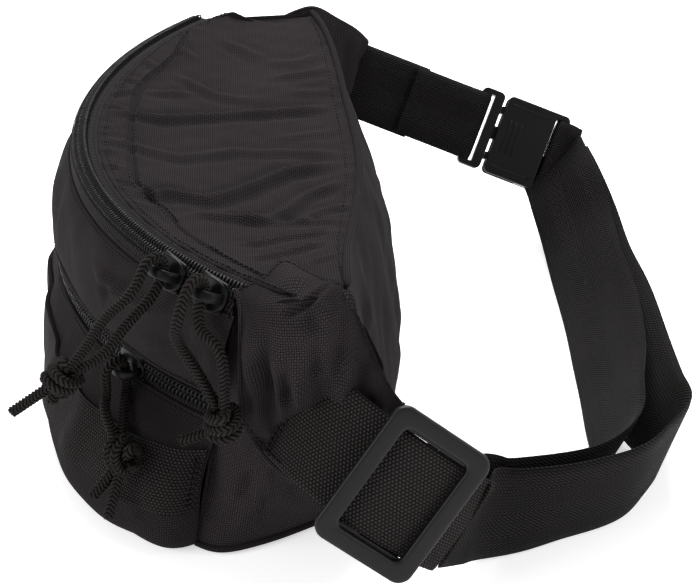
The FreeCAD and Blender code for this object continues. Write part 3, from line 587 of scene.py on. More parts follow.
# ------------------------------------------------------------------ station tables, as in the CAD source
STN = np.array([0, .04, .09, .17, .27, .38, .5, .62, .73, .83, .91, .96, 1])
BELLY = A3((130, -60, 28), (134, -71, 28), (129, -84.5, 28), (112, -101, 28), (84, -118, 28), (45, -127, 28), (0, -131, 28), (-46, -130, 28), (-84, -122, 28), (-112, -108, 28), (-129, -93, 28), (-136, -82.5, 28), (-137, -73, 28))
FOOT = A3((134.5, -64, 2.5), (140, -74, 2.5), (136, -87, 2.5), (122, -104, 2.5), (94, -120, 2.5), (52, -128, 2.5), (0, -128, 2.5), (-50, -127, 2.5), (-90, -120, 2.5), (-118, -107, 2.5), (-133, -92, 2.5), (-138, -82, 2.5), (-136, -72, 2.5))
BACK = A3(((147, -6, 119), (134, 2, 60), (112, 8, 2.5)), ((129, -5, 116.5), (120, 4, 58), (103, 10, 2.5)), ((96, -2, 110), (92, 9, 56), (84, 13, 2.5)),
          ((56, 4, 105), (55, 17, 52), (52, 18, 2.5)), ((28, 8, 104), (28, 22, 50), (28, 21, 2.5)), ((0, 10, 104.5), (0, 26, 48), (0, 23.5, 2.5)),
          ((-33, 9.5, 107), (-33, 28, 48), (-33, 25, 2.5)), ((-66, 8, 111), (-66, 28, 50), (-66, 24, 2.5)), ((-109, 5, 118), (-105, 22, 55), (-100, 18, 2.5)),
          ((-130, 1.5, 121), (-125, 14, 58), (-115, 13, 2.5)), ((-147, -3, 122.5), (-136, 4, 60), (-120, 8, 2.5)))
SIDE_NEAR = A3(((139.6, -43.6, 112.5), (124, -52.3, 58), (134, -64, 2.5)), ((143, -36, 113.5), (134, -45, 56), (139, -54, 2.5)), ((145.5, -26, 114.5), (139, -33, 56), (136, -40, 2.5)),
               ((147, -15, 116), (140, -17, 56), (129, -24, 2.5)), ((147, -6.6, 117), (134.4, 1, 58), (112.5, 6.6, 2.5)))
SIDE_FAR = A3(((-147, -3.6, 120.5), (-136.4, 3.4, 58), (-120.5, 6.6, 2.5)), ((-148, -15, 120), (-143, -15, 58), (-133, -20, 2.5)), ((-147, -28, 120), (-144, -33, 60), (-140, -40, 2.5)),
              ((-145, -44, 120), (-142, -52, 66), (-141, -56, 2.5)), ((-141, -60, 119.5), (-136, -76, 76), (-136, -72, 2.5)))
MAIN0, MAIN1, POCK0, POCK1 = -41.2, -131.4, -36.4, -133.0


def main_deg(s):
    return MAIN0 + (MAIN1 - MAIN0) * s


def pock_deg(s):
    return POCK0 + (POCK1 - POCK0) * s


back_x = -BACK[:, 0, 0]


def back_seam(x):
    return cubic(back_x, BACK[:, 0], -np.asarray(x, float))


def arc_y(name, x, dr):
    """Angle on a zip's arc, stepped out by dr, at which the arc reaches a given X on its front side."""
    c, u, v, n, R = arc_axes(name)
    q = np.clip((np.asarray(x, float) - c[0]) / ((R + dr) * u[0]), -1, 1)
    deg = -np.degrees(np.arccos(q))
    return deg

# ------------------------------------------------------------------ floor material
fmN = Nodes("floor_white", (0.94, 0.94, 0.94), 0.7, 0.1)
fmN.link(fmN.ramp(fmN.noise(fmN.obj(), 1.2, 3), 0.3, 0.7, (0.935, 0.935, 0.937), (0.955, 0.955, 0.957)), fmN.b.inputs["Base Color"])
floor.data.materials.append(fmN.m)
fmN.b.inputs["Emission Color"].default_value = (1, 1, 1, 1)
fmN.b.inputs["Emission Strength"].default_value = 0.55

# ------------------------------------------------------------------ top panel and lid
TOPW = [
    ([(-84, 7), (-78.7, -3.8), (-77.0, -18.5), (-73.8, -30.6)], 2.6, 1.1, .35),
    ([(-46, 8), (-45.5, -4.4), (-42.1, -19.9), (-36.3, -38.5), (-30.2, -58.9), (-20.8, -76.3), (-18.5, -94.8), (-22.7, -106.8)], 2.4, 1.7, .2),
    ([(-63.4, -61.5), (-55.9, -54.5), (-51.4, -40.5), (-53.9, -25.5)], 3.2, 1.0, .4),
    ([(-114.4, -51.9), (-104.7, -37.1), (-96.5, -27.5)], 3.0, 1.2, .4),
    ([(-73.7, -73.3), (-61.0, -59.2), (-51.0, -48.9)], 2.4, 1.1, .4),
    ([(-44.4, -88.3), (-51.1, -70.5), (-54.6, -59.1)], 2.2, 1.2, .4),
    ([(7.9, 7.1), (13.9, -8.1), (19.8, -22.5), (36.1, -37.6), (52.3, -55.2), (51.3, -67.1), (56.7, -76.6), (58.2, -92.8)], 3.0, 2.3, .2),
    ([(25.7, 6.9), (39.4, -12.9), (61.1, -27.3), (67.9, -42.1), (67.4, -57.7), (76.1, -67.1)], 2.3, 1.4, .2),
    ([(70.6, 1.2), (66.0, -14.4), (66.6, -38.1), (65.0, -51.9)], 1.9, 1.0, .2),
    ([(80.1, -4.7), (83.0, -24.9), (92.9, -45.3)], 1.6, 1.2, .2),
    ([(91.1, -8.1), (99.8, -27.4), (105.9, -40.5)], 1.9, 1.2, .25),
    ([(10.8, -106.3), (10.2, -87.7), (13.7, -66.8), (-0.9, -43.5), (-2.3, -21.6), (0.7, 7.7)], 2.8, 1.1, .15),
    ([(-37.1, -103.5), (-47.4, -86.2)], 2.0, 1.0, .3),
    ([(-31.8, -108.5), (-25.4, -98.3), (-23.2, -87.3)], 1.6, 1.0, .3),
    ([(-84, -90), (-72, -78)], 2.0, 0.9, .3), ([(-62.6, -96.9), (-52.7, -83.7)], 1.8, 0.9, .3),
    ([(47.3, -97.5), (49.2, -85.6), (62.5, -71.4)], 1.6, 1.1, .3), ([(63.6, -73.2), (73.3, -71.3), (85.5, -67.9)], 1.8, 0.5, .3),
    ([(34, -102), (37, -88)], 1.5, 0.8, .3), ([(20, -106), (22, -92)], 1.6, 0.7, .3), ([(-4, -108), (-3, -94)], 1.6, 0.8, .3), ([(72, -86), (79, -76)], 1.5, 0.9, .3),
    ([(-100, -70), (-88, -62)], 2.2, 0.8, .3), ([(-97, 4), (-92, -14), (-95, -30)], 3.0, 0.9, .4), ([(-62, 8), (-60, -8), (-58, -20)], 2.4, 0.8, .4),
    ([(-22, 8), (-20, -10), (-14, -30)], 2.6, 0.7, .4), ([(50, 5), (56, -10), (70, -22)], 2.0, 0.9, .3), ([(108, -6), (112, -18)], 1.8, 0.8, .3),
]
INNER_SEAM = A3((-129, -55, 0), (-127, -62, 0), (-112, -66, 0), (-79, -75, 0), (-51, -86, 0), (-27, -88, 0), (-1, -88, 0), (35, -85, 0), (57, -80, 0), (67, -73, 0), (84, -66, 0), (105, -52, 0), (126, -34, 0))[:, :2]
INNER_SEAM = resample(smooth_line(INNER_SEAM, 4), 60)
WING_SEAM = A3((138, -43.5, 0), (131.7, -37.7, 0), (122.9, -30.4, 0), (112.2, -27.0, 0), (122.9, -20.0, 0), (136, -11.4, 0), (146, -7.2, 0))[:, :2]


def top_height(P):
    """Creases, the sewn channel and cloth unevenness of the top panel, over a flat X, Y."""
    h = 1.2 * ridges(P, TOPW)
    d, s = seg_dist(P[..., :2], INNER_SEAM)
    h -= 1.0 * np.exp(-(d / 1.0) ** 2) - 0.5 * np.exp(-((d - 2.4) / 1.3) ** 2)
    d, s = seg_dist(P[..., :2], WING_SEAM)
    h -= 1.1 * np.exp(-(d / 1.0) ** 2) - 0.5 * np.exp(-((d - 2.4) / 1.4) ** 2)
    h += rnd_wave(P, 46, 0.9, 3) + rnd_wave(P, 17, 0.28, 5)
    return h


def top_point(x, f):
    """Smooth base of the top panel: f is 0 at the back seam and 1 at the zip's stitched edge."""
    b = back_seam(x)
    deg = arc_y("main", x, -8.2)
    fr = arc("main", deg, -8.2, 0.9)
    P = b + (fr - b) * f[..., None]
    P[..., 0] = x
    sag = 5.0 * np.sin(math.pi * np.clip(f, 0, 1))
    edge = np.clip((1 - f) / 0.06, 0, 1)
    P[..., 2] += -sag - 1.0 * (1 - edge) ** 2 + 0.6
    # puckers that run in from both sewn edges
    w = np.sin(x * 0.62 + 2.0 * np.sin(x * 0.11)) * 0.55 + np.sin(x * 0.37 + 1.0) * 0.45
    fall = np.exp(-((1 - f) / 0.10) ** 2) * 0.35 + np.exp(-(f / 0.08) ** 2) * 0.35
    P[..., 2] += w * fall
    return P


def top_surface(x, f):
    P = top_point(x, f)
    P[..., 2] += top_height(P) * np.clip(np.minimum(f, 1 - f) / 0.035, 0.15, 1)
    return P


FOLD_Y = -60.0


def fold_share(x):
    """Share f at which the top panel crosses the lid's fold."""
    b = back_seam(x)
    deg = arc_y("main", x, -8.2)
    fr = arc("main", deg, -8.2, 0.9)
    return (b[..., 1] - FOLD_Y) / (b[..., 1] - fr[..., 1])


def top_patch(name, x0, x1, fa, fb, body, step=1.3):
    n = int((x1 - x0) / step) + 2
    xs = np.linspace(x0, x1, n)
    m = 96
    k = np.linspace(0, 1, m)
    a, b = fa(xs), fb(xs)
    F = a[:, None] + (b - a)[:, None] * k[None, :]
    X = np.repeat(xs[:, None], m, 1)
    G = top_surface(X, F)
    uv = np.stack([X, G[..., 1]], -1).reshape(-1, 2) / 1000
    return skin(name, G, mat_top, 1.2, flip=True, body=body, uv=uv)


one = lambda x: np.ones_like(x)
zero = lambda x: np.zeros_like(x)
rear = top_patch("top_panel_skin", -113, 97.6, zero, lambda x: fold_share(x) - 0.02, "pack")
near_top = top_patch("top_panel_skin_near", 97.6, 142, zero, one, "pack")
far_top = top_patch("top_panel_skin_far", -141, -113, zero, one, "pack")
lid = top_patch("lid_skin", -113, 97.6, lambda x: fold_share(x) - 0.02, one, None)
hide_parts("top_panel_rear")
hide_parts("lid_panel")
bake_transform(lid)

# ------------------------------------------------------------------ walls
FRONTW = [
    ([(126, -62, 101), (112, -76, 96), (94, -90, 94), (78, -100, 98)], 2.6, 1.5, .25), ([(132, -56, 88), (118, -70, 82), (104, -82, 74)], 2.6, 1.7, .25), ([(96, -88, 104), (90, -96, 90), (92, -98, 76)], 2.4, -1.4, .3),
    ([(44, -104, 106), (38, -110, 88), (40, -112, 74)], 3.0, 1.4, .3), ([(-6, -110, 106), (-10, -114, 88), (-6, -116, 72)], 3.2, 1.3, .3), ([(-56, -104, 104), (-60, -110, 88), (-56, -112, 76)], 3.2, 1.4, .3),
    ([(118, -72, 98), (100, -86, 92), (86, -94, 80)], 4.0, 1.6, .3), ([(128, -60, 104), (122, -66, 90), (112, -76, 78)], 3.0, 1.8, .3),
    ([(133, -52, 100), (128, -56, 84), (122, -60, 70)], 2.6, -1.8, .3), ([(60, -100, 106), (52, -108, 92)], 4, 1.0, .3), ([(20, -108, 104), (14, -112, 84)], 4, 1.1, .3),
    ([(-30, -108, 100), (-26, -112, 80)], 4, 1.0, .3), ([(-80, -96, 104), (-84, -98, 84)], 4, 1.0, .3),
]


def wall_noise(P, a=1.0):
    return rnd_wave(P, 60, 1.3 * a, 11) + rnd_wave(P, 22, 0.45 * a, 12)


def wall_patch(name, prof, s0, s1, n, m, mat, rows, amp, thick=1.3, body="pack", flip=False, bulge=None):
    s = np.linspace(s0, s1, n)
    G = prof(s, np.linspace(0, 1, m))
    N = grid_normals(G)
    if flip:
        N = -N
    edge = np.sin(math.pi * np.clip(np.linspace(0, 1, m), 0, 1)) ** 0.5
    h = (wall_noise(G, amp) + (ridges(G, rows) if rows else 0)) * edge[None, :]
    G = G + N * h[..., None]
    return skin(name, G, mat, thick, flip=flip, body=body), G, N


def upper_prof(s, t):
    top = arc("main", main_deg(s), 4.9 + 0 * s, -7.2 + 0 * s)
    bot = arc("pocket", pock_deg(s), 1.6 + 0 * s, 6.4 + 0 * s)
    mid = (top + bot) * 0.5
    out = unit(np.stack([mid[:, 0] * 0.6, mid[:, 1] + 10, 0 * mid[:, 0]], 1))
    mid = mid + out * 3.6
    hi = top + (mid - top) * 0.18 + out * 0.9
    lo = bot + (mid - bot) * 0.18 + out * 1.1
    P = np.stack([top, hi, mid, lo, bot])
    return np.moveaxis(cubic([0, .12, .5, .88, 1], P, t), 0, 1)


front_up, G_up, N_up = wall_patch("front_panel_skin", upper_prof, -0.004, 1.0, 300, 40, mat_wall, FRONTW, 0.9, flip=False)
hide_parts("front_panel_upper")

belly_s = lambda s: cubic(STN, BELLY, s)
foot_s = lambda s: cubic(STN, FOOT, s)
POCKW = [
    ([(112, -90, 52), (118, -94, 40)], 3, 1.2, .3), ([(90, -104, 48), (96, -112, 30), (96, -114, 12)], 6, 1.2, .3), ([(128, -76, 24), (118, -94, 12)], 4, 1.5, .3),
    ([(60, -116, 50), (52, -124, 28)], 5, 1.4, .3), ([(14, -120, 50), (8, -128, 24)], 6, 1.2, .3), ([(-40, -118, 50), (-44, -128, 26)], 6, 1.4, .3), ([(-95, -104, 50), (-100, -112, 24)], 5, 1.3, .3),
]


def pocket_prof(s, t):
    top = arc("pocket", pock_deg(s), 1.4 + 0 * s, -6.2 + 0 * s)
    be, fo = belly_s(s), foot_s(s)
    out = unit(np.stack([be[:, 0], be[:, 1] + 10, 0 * be[:, 0]], 1))
    hi = top + (be - top) * 0.42 + out * 1.6
    lo = be + (fo - be) * 0.5 + out * 0.9
    fade = np.clip(np.minimum(s, 1 - s) / 0.10, 0, 1)[:, None]
    under = fo - out * (3.0 + 12.0 * fade)
    under[:, 2] = 0.15
    fo2 = fo - out * 5.2 * fade + A3(0, 0, 2.2) * fade
    P = np.stack([top, hi, be, lo, fo2, under])
    return np.moveaxis(cubic([0, .26, .52, .7, .9, 1], P, t), 0, 1)


pocket, G_pk, N_pk = wall_patch("pocket_skin", pocket_prof, -0.002, 1.0, 300, 56, mat_wall, POCKW, 0.9, flip=False)
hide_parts("pocket_panel")


def table_prof(T, t_rows):
    def f(s, t):
        k = chord_t(T[:, 1])
        k = k / k[-1]
        P = cubic(k, T, s)
        return np.moveaxis(cubic(t_rows, np.moveaxis(P, 1, 0), t), 0, 1)
    return f


SIDEW = [([(133, -58, 44), (138, -60, 24), (136, -62, 8)], 1.3, -1.2, .1), ([(139, -46, 40), (140, -50, 24)], 3, 1.8, .3), ([(137, -33, 40), (138, -42, 22), (136, -50, 8)], 2.4, 1.7, .25), ([(140, -28, 34), (133, -24, 18)], 2.4, -1.5, .3), ([(136.5, -37, 38), (136.5, -38, 12)], 1.0, -1.0, .05), ([(134, -52, 40), (137, -50, 20)], 4, 1.2, .3), ([(135.7, -28, 26), (128, -20, 12)], 3, 1.3, .3)]
side_n, G_sn, N_sn = wall_patch("side_skin_near", table_prof(SIDE_NEAR, [0, .5, 1]), 0, 1, 60, 60, mat_wing, SIDEW, 0.8, flip=True)
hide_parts("side_panel_near")
side_f, G_sf, N_sf = wall_patch("side_skin_far", table_prof(SIDE_FAR, [0, .5, 1]), 0, 1, 60, 60, mat_wing, None, 0.8, flip=True)
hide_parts("side_panel_far")


def back_prof(s, t):
    k = np.linspace(0, 1, len(BACK))
    P = cubic(k, BACK, s)
    P[:, 1] += A3(0, 0.5, 0)
    top, mid, foot = P[:, 0], P[:, 1], P[:, 2]
    hi = top + (mid - top) * 0.35 + A3(0, 2.4, 0)
    top = top + A3(0, 0.2, 0.2)
    under = foot + A3(0, -4, -2.3)
    return np.moveaxis(cubic([0, .2, .52, .95, 1], np.stack([top, hi, mid, foot, under]), t), 0, 1)


BACKW = [([(120, 2, 100), (116, 8, 60), (104, 9, 20)], 4, 1.5, .3), ([(100, 4, 96), (97, 10, 70)], 5, 1.3, .4), ([(60, 22, 70), (20, 30, 50), (-30, 33, 50), (-80, 28, 60)], 2.0, -2.2, .1),
         ([(70, 12, 24), (20, 24, 20), (-30, 27, 20), (-80, 22, 24)], 2.0, -1.8, .1)]
# the pad is 6.5 mm thick inside its seams and thins to a sewn edge all round
pu, pv = np.linspace(0, 1, 240)[:, None], np.linspace(0, 1, 60)[None, :]
pad_in = np.clip(np.minimum(pu, 1 - pu) / 0.09, 0, 1) * np.clip(np.minimum(pv, 1 - pv) / 0.2, 0, 1)
pad_in = (pad_in * pad_in * (3 - 2 * pad_in))[..., None]
backp, G_bk, N_bk = wall_patch("back_pad_skin", back_prof, 0, 1, 240, 60, mat_wall, BACKW, 0.8, thick=1.4 + 5.1 * pad_in, flip=True)
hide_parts("back_panel")

# base, a flat sheet just inside the foot line, with a turned edge
foot_line = foot_s(np.linspace(0, 1, 120))
fl_out = unit(np.stack([foot_line[:, 0], foot_line[:, 1] + 10, 0 * foot_line[:, 0]], 1))
foot_line = foot_line - fl_out * (11.0 * np.clip(np.sin(math.pi * np.linspace(0, 1, 120)) * 2.6, 0, 1))[:, None]
loop = [p for p in foot_line]
loop += [p for p in SIDE_FAR[::-1, 2][1:-1]] + [p for p in BACK[::-1, 2]] + [p for p in SIDE_NEAR[::-1, 2][1:-1]]
loop = np.array(loop)
loop[:, 2] = 0
cen = loop.mean(0)
rings = [cen + (loop - cen) * k + A3(0, 0, z) for k, z in ((0.992, 1.6), (0.985, 0.4), (0.97, 0.05), (0.6, 0.25), (0.25, 0.3))]
V1 = np.concatenate(rings + [cen[None] + A3(0, 0, 0.3)])
nl = len(loop)
F = []
for r in range(len(rings) - 1):
    for i in range(nl):
        j = (i + 1) % nl
        F.append((r * nl + i, (r + 1) * nl + i, (r + 1) * nl + j, r * nl + j))
for i in range(nl):
    F.append(((len(rings) - 1) * nl + i, len(V1) - 1, (len(rings) - 1) * nl + (i + 1) % nl))
base_o = obj_from("base_skin", M(V1), F, mat_base, V1[:, :2] / 1000)
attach(base_o, "pack")
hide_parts("bottom_panel")


def joined(name, A, B, mat, inset=1.0, thick=1.1):
    """A narrow cloth strip under two neighbouring edges, so that no gap shows between the panels sewn there."""
    k = np.linspace(-0.12, 1.12, 7)[None, :, None]
    G = A[:, None, :] * (1 - k) + B[:, None, :] * k
    N = grid_normals(G)
    mid = G.reshape(-1, 3).mean(0)
    flip = bool((N.reshape(-1, 3).mean(0) @ (mid - A3(0, -40, 62))) < 0)
    if flip:
        N = -N
    G = G - N * inset
    return skin(name, G, mat, thick, flip=flip, body="pack")


def at_param(R, n):
    q = chord_t(R)
    q = q / q[-1]
    return np.stack([np.interp(np.linspace(0, 1, n), q, R[:, c]) for c in range(3)], 1)


joined("rear_corner_far", at_param(G_bk[-1], 30), at_param(G_sf[0], 30), mat_wing)
near_col = min((G_sn[0], G_sn[-1]), key=lambda c: float(np.linalg.norm(at_param(c, 30) - at_param(G_bk[0], 30), axis=1).mean()))
joined("rear_corner_near", at_param(G_bk[0], 30), at_param(near_col, 30), mat_wing, 1.6)
xf = np.linspace(-141, -112, 24)
top_edge = top_surface(xf[:, None], np.ones((24, 1)))[:, 0]
row = G_up[:, 0]
row = row[row[:, 0] < -100]
row = row[np.argsort(row[:, 0])]
low_edge = np.stack([xf, np.interp(xf, row[:, 0], row[:, 1]), np.interp(xf, row[:, 0], row[:, 2])], 1)
joined("zip_end_far", top_edge, low_edge, mat_wall, 1.2)
ff = np.linspace(0, 1, 24)
end_edge = top_surface(np.full((24, 1), -141.0), ff[:, None])[:, 0]
joined("side_top_far", end_edge, at_param(np.concatenate([G_sf[:, 0], low_edge[:1]]), 24), mat_wing, 1.2)

# ------------------------------------------------------------------ zips: tapes, coils, folded edges and stitching
def zip_tape(name, arc_name, d0, d1, prof, body, n=170, node=None):
    degs = np.linspace(d0, d1, n)
    G = np.stack([arc(arc_name, degs, dr + 0 * degs, dn + 0 * degs) for dr, dn in prof], 1)
    o = skin(name, G, mat_tape, 0.9, flip=False, body=body)
    if node:
        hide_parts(node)
    return o


def coil(bag, arc_name, d0, d1, dr, dn, pitch, wide=1.35, high=0.8, wire=0.44):
    """One row of a coil zip: a wound nylon strand along the arc, wide across the chain."""
    c, u, v, n, R = arc_axes(arc_name)
    length = math.radians(abs(d1 - d0)) * (R + dr)
    turns = int(length / pitch)
    k = 12
    t = np.linspace(0, 1, turns * k + 1)
    deg = d0 + (d1 - d0) * t
    P = arc(arc_name, deg, dr + 0 * deg, dn + 0 * deg)
    er = unit((P - c) - n * ((P - c) @ n)[:, None])
    if arc_name == "main":
        across, up = unit(er * 0.93 - n * 0.37), unit(n * 0.93 + er * 0.37)
    else:
        across, up = n, er
    a = t * turns * 2 * math.pi
    # a flattened loop: the legs run straight across the chain
    ca, sa = np.cos(a), np.sin(a)
    P = P + across * (np.sign(ca) * np.abs(ca) ** 0.7 * wide)[:, None] + up * (np.sign(sa) * np.abs(sa) ** 0.8 * high)[:, None]
    bag.tube(P, wire, 5)


def arc_line(name, d0, d1, dr, dn, step=0.45):
    c, u, v, n, R = arc_axes(name)
    m = int(math.radians(abs(d1 - d0)) * (R + dr) / 1.2) + 2
    deg = np.linspace(d0, d1, m)
    return arc(name, deg, dr + 0 * deg, dn + 0 * deg)


def radial(name, line):
    c, u, v, n, R = arc_axes(name)
    return unit((line - c) - n * ((line - c) @ n)[:, None])


# angles where the lid's zip section starts and ends, at the lid panel's ends
LID0 = float(arc_y("main", 103.0, -4.0))
LID1 = float(arc_y("main", -118.0, -4.0))
MZ = arc_axes("main")
PZ = arc_axes("pocket")

tape_lid = zip_tape("zip_tape_lid", "main", LID0, LID1, [(-9.2, 0.0), (-4.0, 0.2), (-0.6, -0.6)], "lid", node="lid_zipper_tape")
zip_tape("zip_tape_inner_near", "main", MAIN0, LID0 + 0.1, [(-9.2, 0.0), (-4.0, 0.2), (-0.6, -0.6)], "pack", node="main_zipper_tape_inner_near", n=30)
zip_tape("zip_tape_inner_far", "main", LID1 - 0.1, MAIN1, [(-9.2, 0.0), (-4.0, 0.2), (-0.6, -0.6)], "pack", node="main_zipper_tape_inner_far", n=40)
zip_tape("zip_tape_outer", "main", MAIN0, MAIN1, [(0.7, -0.9), (2.6, -1.6), (4.2, -4.0), (4.9, -8.6)], "pack", node="main_zipper_tape_outer")
zip_tape("pocket_tape_upper", "pocket", POCK0, POCK1, [(1.6, 7.0), (0.6, 4.0), (-0.2, 0.5)], "pack", node="pocket_zipper_tape_upper")
zip_tape("pocket_tape_lower", "pocket", POCK0, POCK1, [(-0.2, -0.5), (0.6, -4.0), (1.4, -7.0)], "pack", node="pocket_zipper_tape_lower")

for nm, body, d0, d1 in (("coil_lid", "lid", LID0, LID1), ("coil_inner_near", "pack", MAIN0, LID0), ("coil_inner_far", "pack", LID1, MAIN1)):
    b = Bag()
    coil(b, "main", d0, d1, -1.5, 0.75, 1.62)
    b.make(nm, mat_coil, body, "zipper_tape")
    b = Bag()
    ln = arc_line("main", d0, d1, -2.1, 1.55)
    stitch(b, ln, MZ[3], 1.25, 0.37, 0.3, 0.0)
    ln = arc_line("main", d0, d1, -3.5, 0.5)
    stitch(b, ln, MZ[3], 1.9, 0.5, 0.26, 0.0)
    b.make(nm + "_stitch", mat_thread, body, "zipper_tape")
b = Bag()
coil(b, "main", MAIN0, MAIN1, 1.35, -0.45, 1.62)
coil(b, "pocket", POCK0, POCK1, 0.9, 1.75, 1.95, 1.55, 0.85, 0.5)
coil(b, "pocket", POCK0, POCK1, 0.9, -1.75, 1.95, 1.55, 0.85, 0.5)
b.make("coil_fixed", mat_coil, "pack", "zipper_tape")
b = Bag()
ln = arc_line("main", MAIN0, MAIN1, 2.1, 0.1)
stitch(b, ln, unit(MZ[3] + radial("main", ln) * 0.4), 1.25, 0.37, 0.3, 0.0)
ln = arc_line("main", MAIN0, MAIN1, 3.6, -2.0)
stitch(b, ln, unit(MZ[3] + radial("main", ln)), 1.9, 0.5, 0.26, 0.1)
for dn, dr_ in ((2.2, 1.85), (-2.2, 1.85), (3.9, 1.1), (-3.9, 1.1)):
    ln = arc_line("pocket", POCK0, POCK1, dr_, dn)
    stitch(b, ln, radial("pocket", ln), 1.5, 0.45, 0.32, 0.0)
b.make("zip_stitching", mat_thread, "pack", "zipper_tape")


# folded fabric edges along the tapes, with their topstitching
def edge_roll(name, line, up, body, mat=mat_top, r=0.9, squash=0.7, tips=(False, False)):
    b = Bag()
    q = chord_t(line)
    ends = np.minimum(q / 6 if tips[0] else 1 + 0 * q, (q[-1] - q) / 6 if tips[1] else 1 + 0 * q)
    b.tube(line, r * (0.15 + 0.85 * np.clip(ends, 0, 1) ** 0.6), 8, up=up, squash=squash)
    return b.make(name, mat, body, "pack_fabric")


def top_edge(x0, x1, off_f):
    xs = np.linspace(x0, x1, int((x1 - x0) / 1.5) + 2)
    return top_surface(xs, 1 - off_f + 0 * xs)


for nm, body, x0, x1 in (("lid_edge", "lid", -113, 97.6), ("near_edge", "pack", 97.6, 141.5), ("far_edge", "pack", -140.5, -113)):
    ln = top_edge(x0, x1, 0.0)
    edge_roll(nm, ln + A3(0, 0, -0.5), A3(0, 0, 1), body, r=0.95, tips=(nm == "far_edge", nm == "near_edge"))
    ln2 = top_edge(x0, x1, 0.022)
    b = Bag()
    stitch(b, ln2, A3(0, 0, 1), 1.9, 0.9, 0.24, 0.05)
    b.make(nm + "_stitch", mat_thread, body, "pack_fabric")

# seam between the back pad and the top: a low welt with stitching on the top side
xs = np.linspace(-145, 145, 150)
ln = back_seam(xs) + A3(0, 0.4, 0.6)
edge_roll("back_top_seam", ln, A3(0, 0, 1), "pack", mat_wall, 1.7, 0.9, tips=(True, True))


def panel_row(off, x0, x1):
    """A line on the top panel that runs off mm in front of its inner seam, between two x."""
    L2 = INNER_SEAM[(INNER_SEAM[:, 0] > x0) & (INNER_SEAM[:, 0] < x1)]
    x, y = L2[:, 0], L2[:, 1] - off
    be = back_seam(x)
    fr = arc("main", arc_y("main", x, -8.2), -8.2, 0.9)
    return top_surface(x, (be[..., 1] - y) / (be[..., 1] - fr[..., 1]))


for nm, body, x0, x1 in (("inner_seam_stitch", "lid", -108, 84), ("inner_seam_stitch_near", "pack", 98.5, 127)):
    b = Bag()
    for off in (1.9, -1.9):
        stitch(b, panel_row(off, x0, x1), A3(0, 0, 1), 1.9, 0.9, 0.24, 0.12)
    b.make(nm, mat_thread, body, "pack_fabric")
for nm, body, x0, x1 in (("seam_stitch_top", "pack", -138, 138),):
    xs = np.linspace(x0, x1, 190)
    ln = top_surface(xs, 0.05 + 0 * xs)
    b = Bag()
    stitch(b, ln, A3(0, 0, 1), 2.0, 1.1, 0.26, 0.05)
    b.make(nm, mat_thread, body, "pack_fabric")

# front wall edges: rolled hem under the main tape, and hems either side of the pocket zip
ssm = np.linspace(0.002, 0.998, 200)
b = Bag()
P = arc("main", main_deg(ssm), 5.1 + 0 * ssm, -7.8 + 0 * ssm)
b.tube(P, 0.75, 8, up=A3(0, 0, 1), squash=1.0)
P1 = arc("pocket", pock_deg(ssm), 1.9 + 0 * ssm, 6.7 + 0 * ssm)
b.tube(P1, 0.8, 8, up=A3(0, 0, 1))
P2 = arc("pocket", pock_deg(ssm), 1.9 + 0 * ssm, -6.7 + 0 * ssm)
b.tube(P2, 0.8, 8, up=A3(0, 0, 1))
b.make("zip_hems", mat_wall, "pack", "pack_fabric")


def offset_line(G, N, j, jf, lift=0.05):
    return G[:, j] * (1 - jf) + G[:, j + 1] * jf + N[:, j] * lift


b = Bag()
stitch(b, offset_line(G_up, N_up, 2, 0.0), N_up[:, 2], 1.9, 0.9, 0.24, 0.05)
stitch(b, offset_line(G_up, N_up, G_up.shape[1] - 4, 0.0), N_up[:, -4], 1.9, 0.9, 0.24, 0.05)
stitch(b, offset_line(G_pk, N_pk, 2, 0.5), N_pk[:, 3], 1.9, 0.9, 0.24, 0.05)
b.make("wall_stitching", mat_thread, "pack", "pack_fabric")

# corner seams where the front wall meets the side panels, and the foot welt round the base
b = Bag()
for T, col in ((SIDE_NEAR, 0), (SIDE_FAR, -1), (SIDE_NEAR, -1), (SIDE_FAR, 0)):
    k = np.array([0, .5, 1])
    ln = cubic(k, T[col], np.linspace(0, 1, 60))
    out = unit(np.array([ln[:, 0], ln[:, 1] * 0.6, 0 * ln[:, 0]]).T)
    b.tube(ln + out * 0.1, 0.9, 8, up=A3(1, 0, 0))

kb = np.linspace(0, 1, 120)
ln = cubic(np.linspace(0, 1, len(BACK)), BACK[:, 2], kb) + A3(0, 0, -0.6)
b.tube(ln, 1.5, 8, up=A3(0, 0, 1), squash=0.9)
for T in (SIDE_NEAR, SIDE_FAR):
    ln = cubic(np.linspace(0, 1, 5), T[:, 2], np.linspace(0, 1, 40)) + A3(0, 0, -0.6)
    b.tube(ln, 1.5, 8, up=A3(0, 0, 1), squash=0.9)
b.make("corner_piping", mat_wall, "pack", "pack_fabric")

# ------------------------------------------------------------------ lash band round the pocket
bs = np.linspace(0.004, 0.996, 260)


def band_mid(s):
    be, fo = belly_s(s), foot_s(s)
    tp = arc("pocket", pock_deg(s), 0.2 + 0 * s, -5.6 + 0 * s)
    out = unit(np.stack([be[:, 0], be[:, 1] + 10, 0 * be[:, 0]], 1))
    top = be + (tp - be) * 0.52
    low = be + (fo - be) * 0.3
    w = unit(top - low)
    m = (top + low) * 0.5 + out * (3.3 - 1.2 * s)[:, None]
    return m, w, out


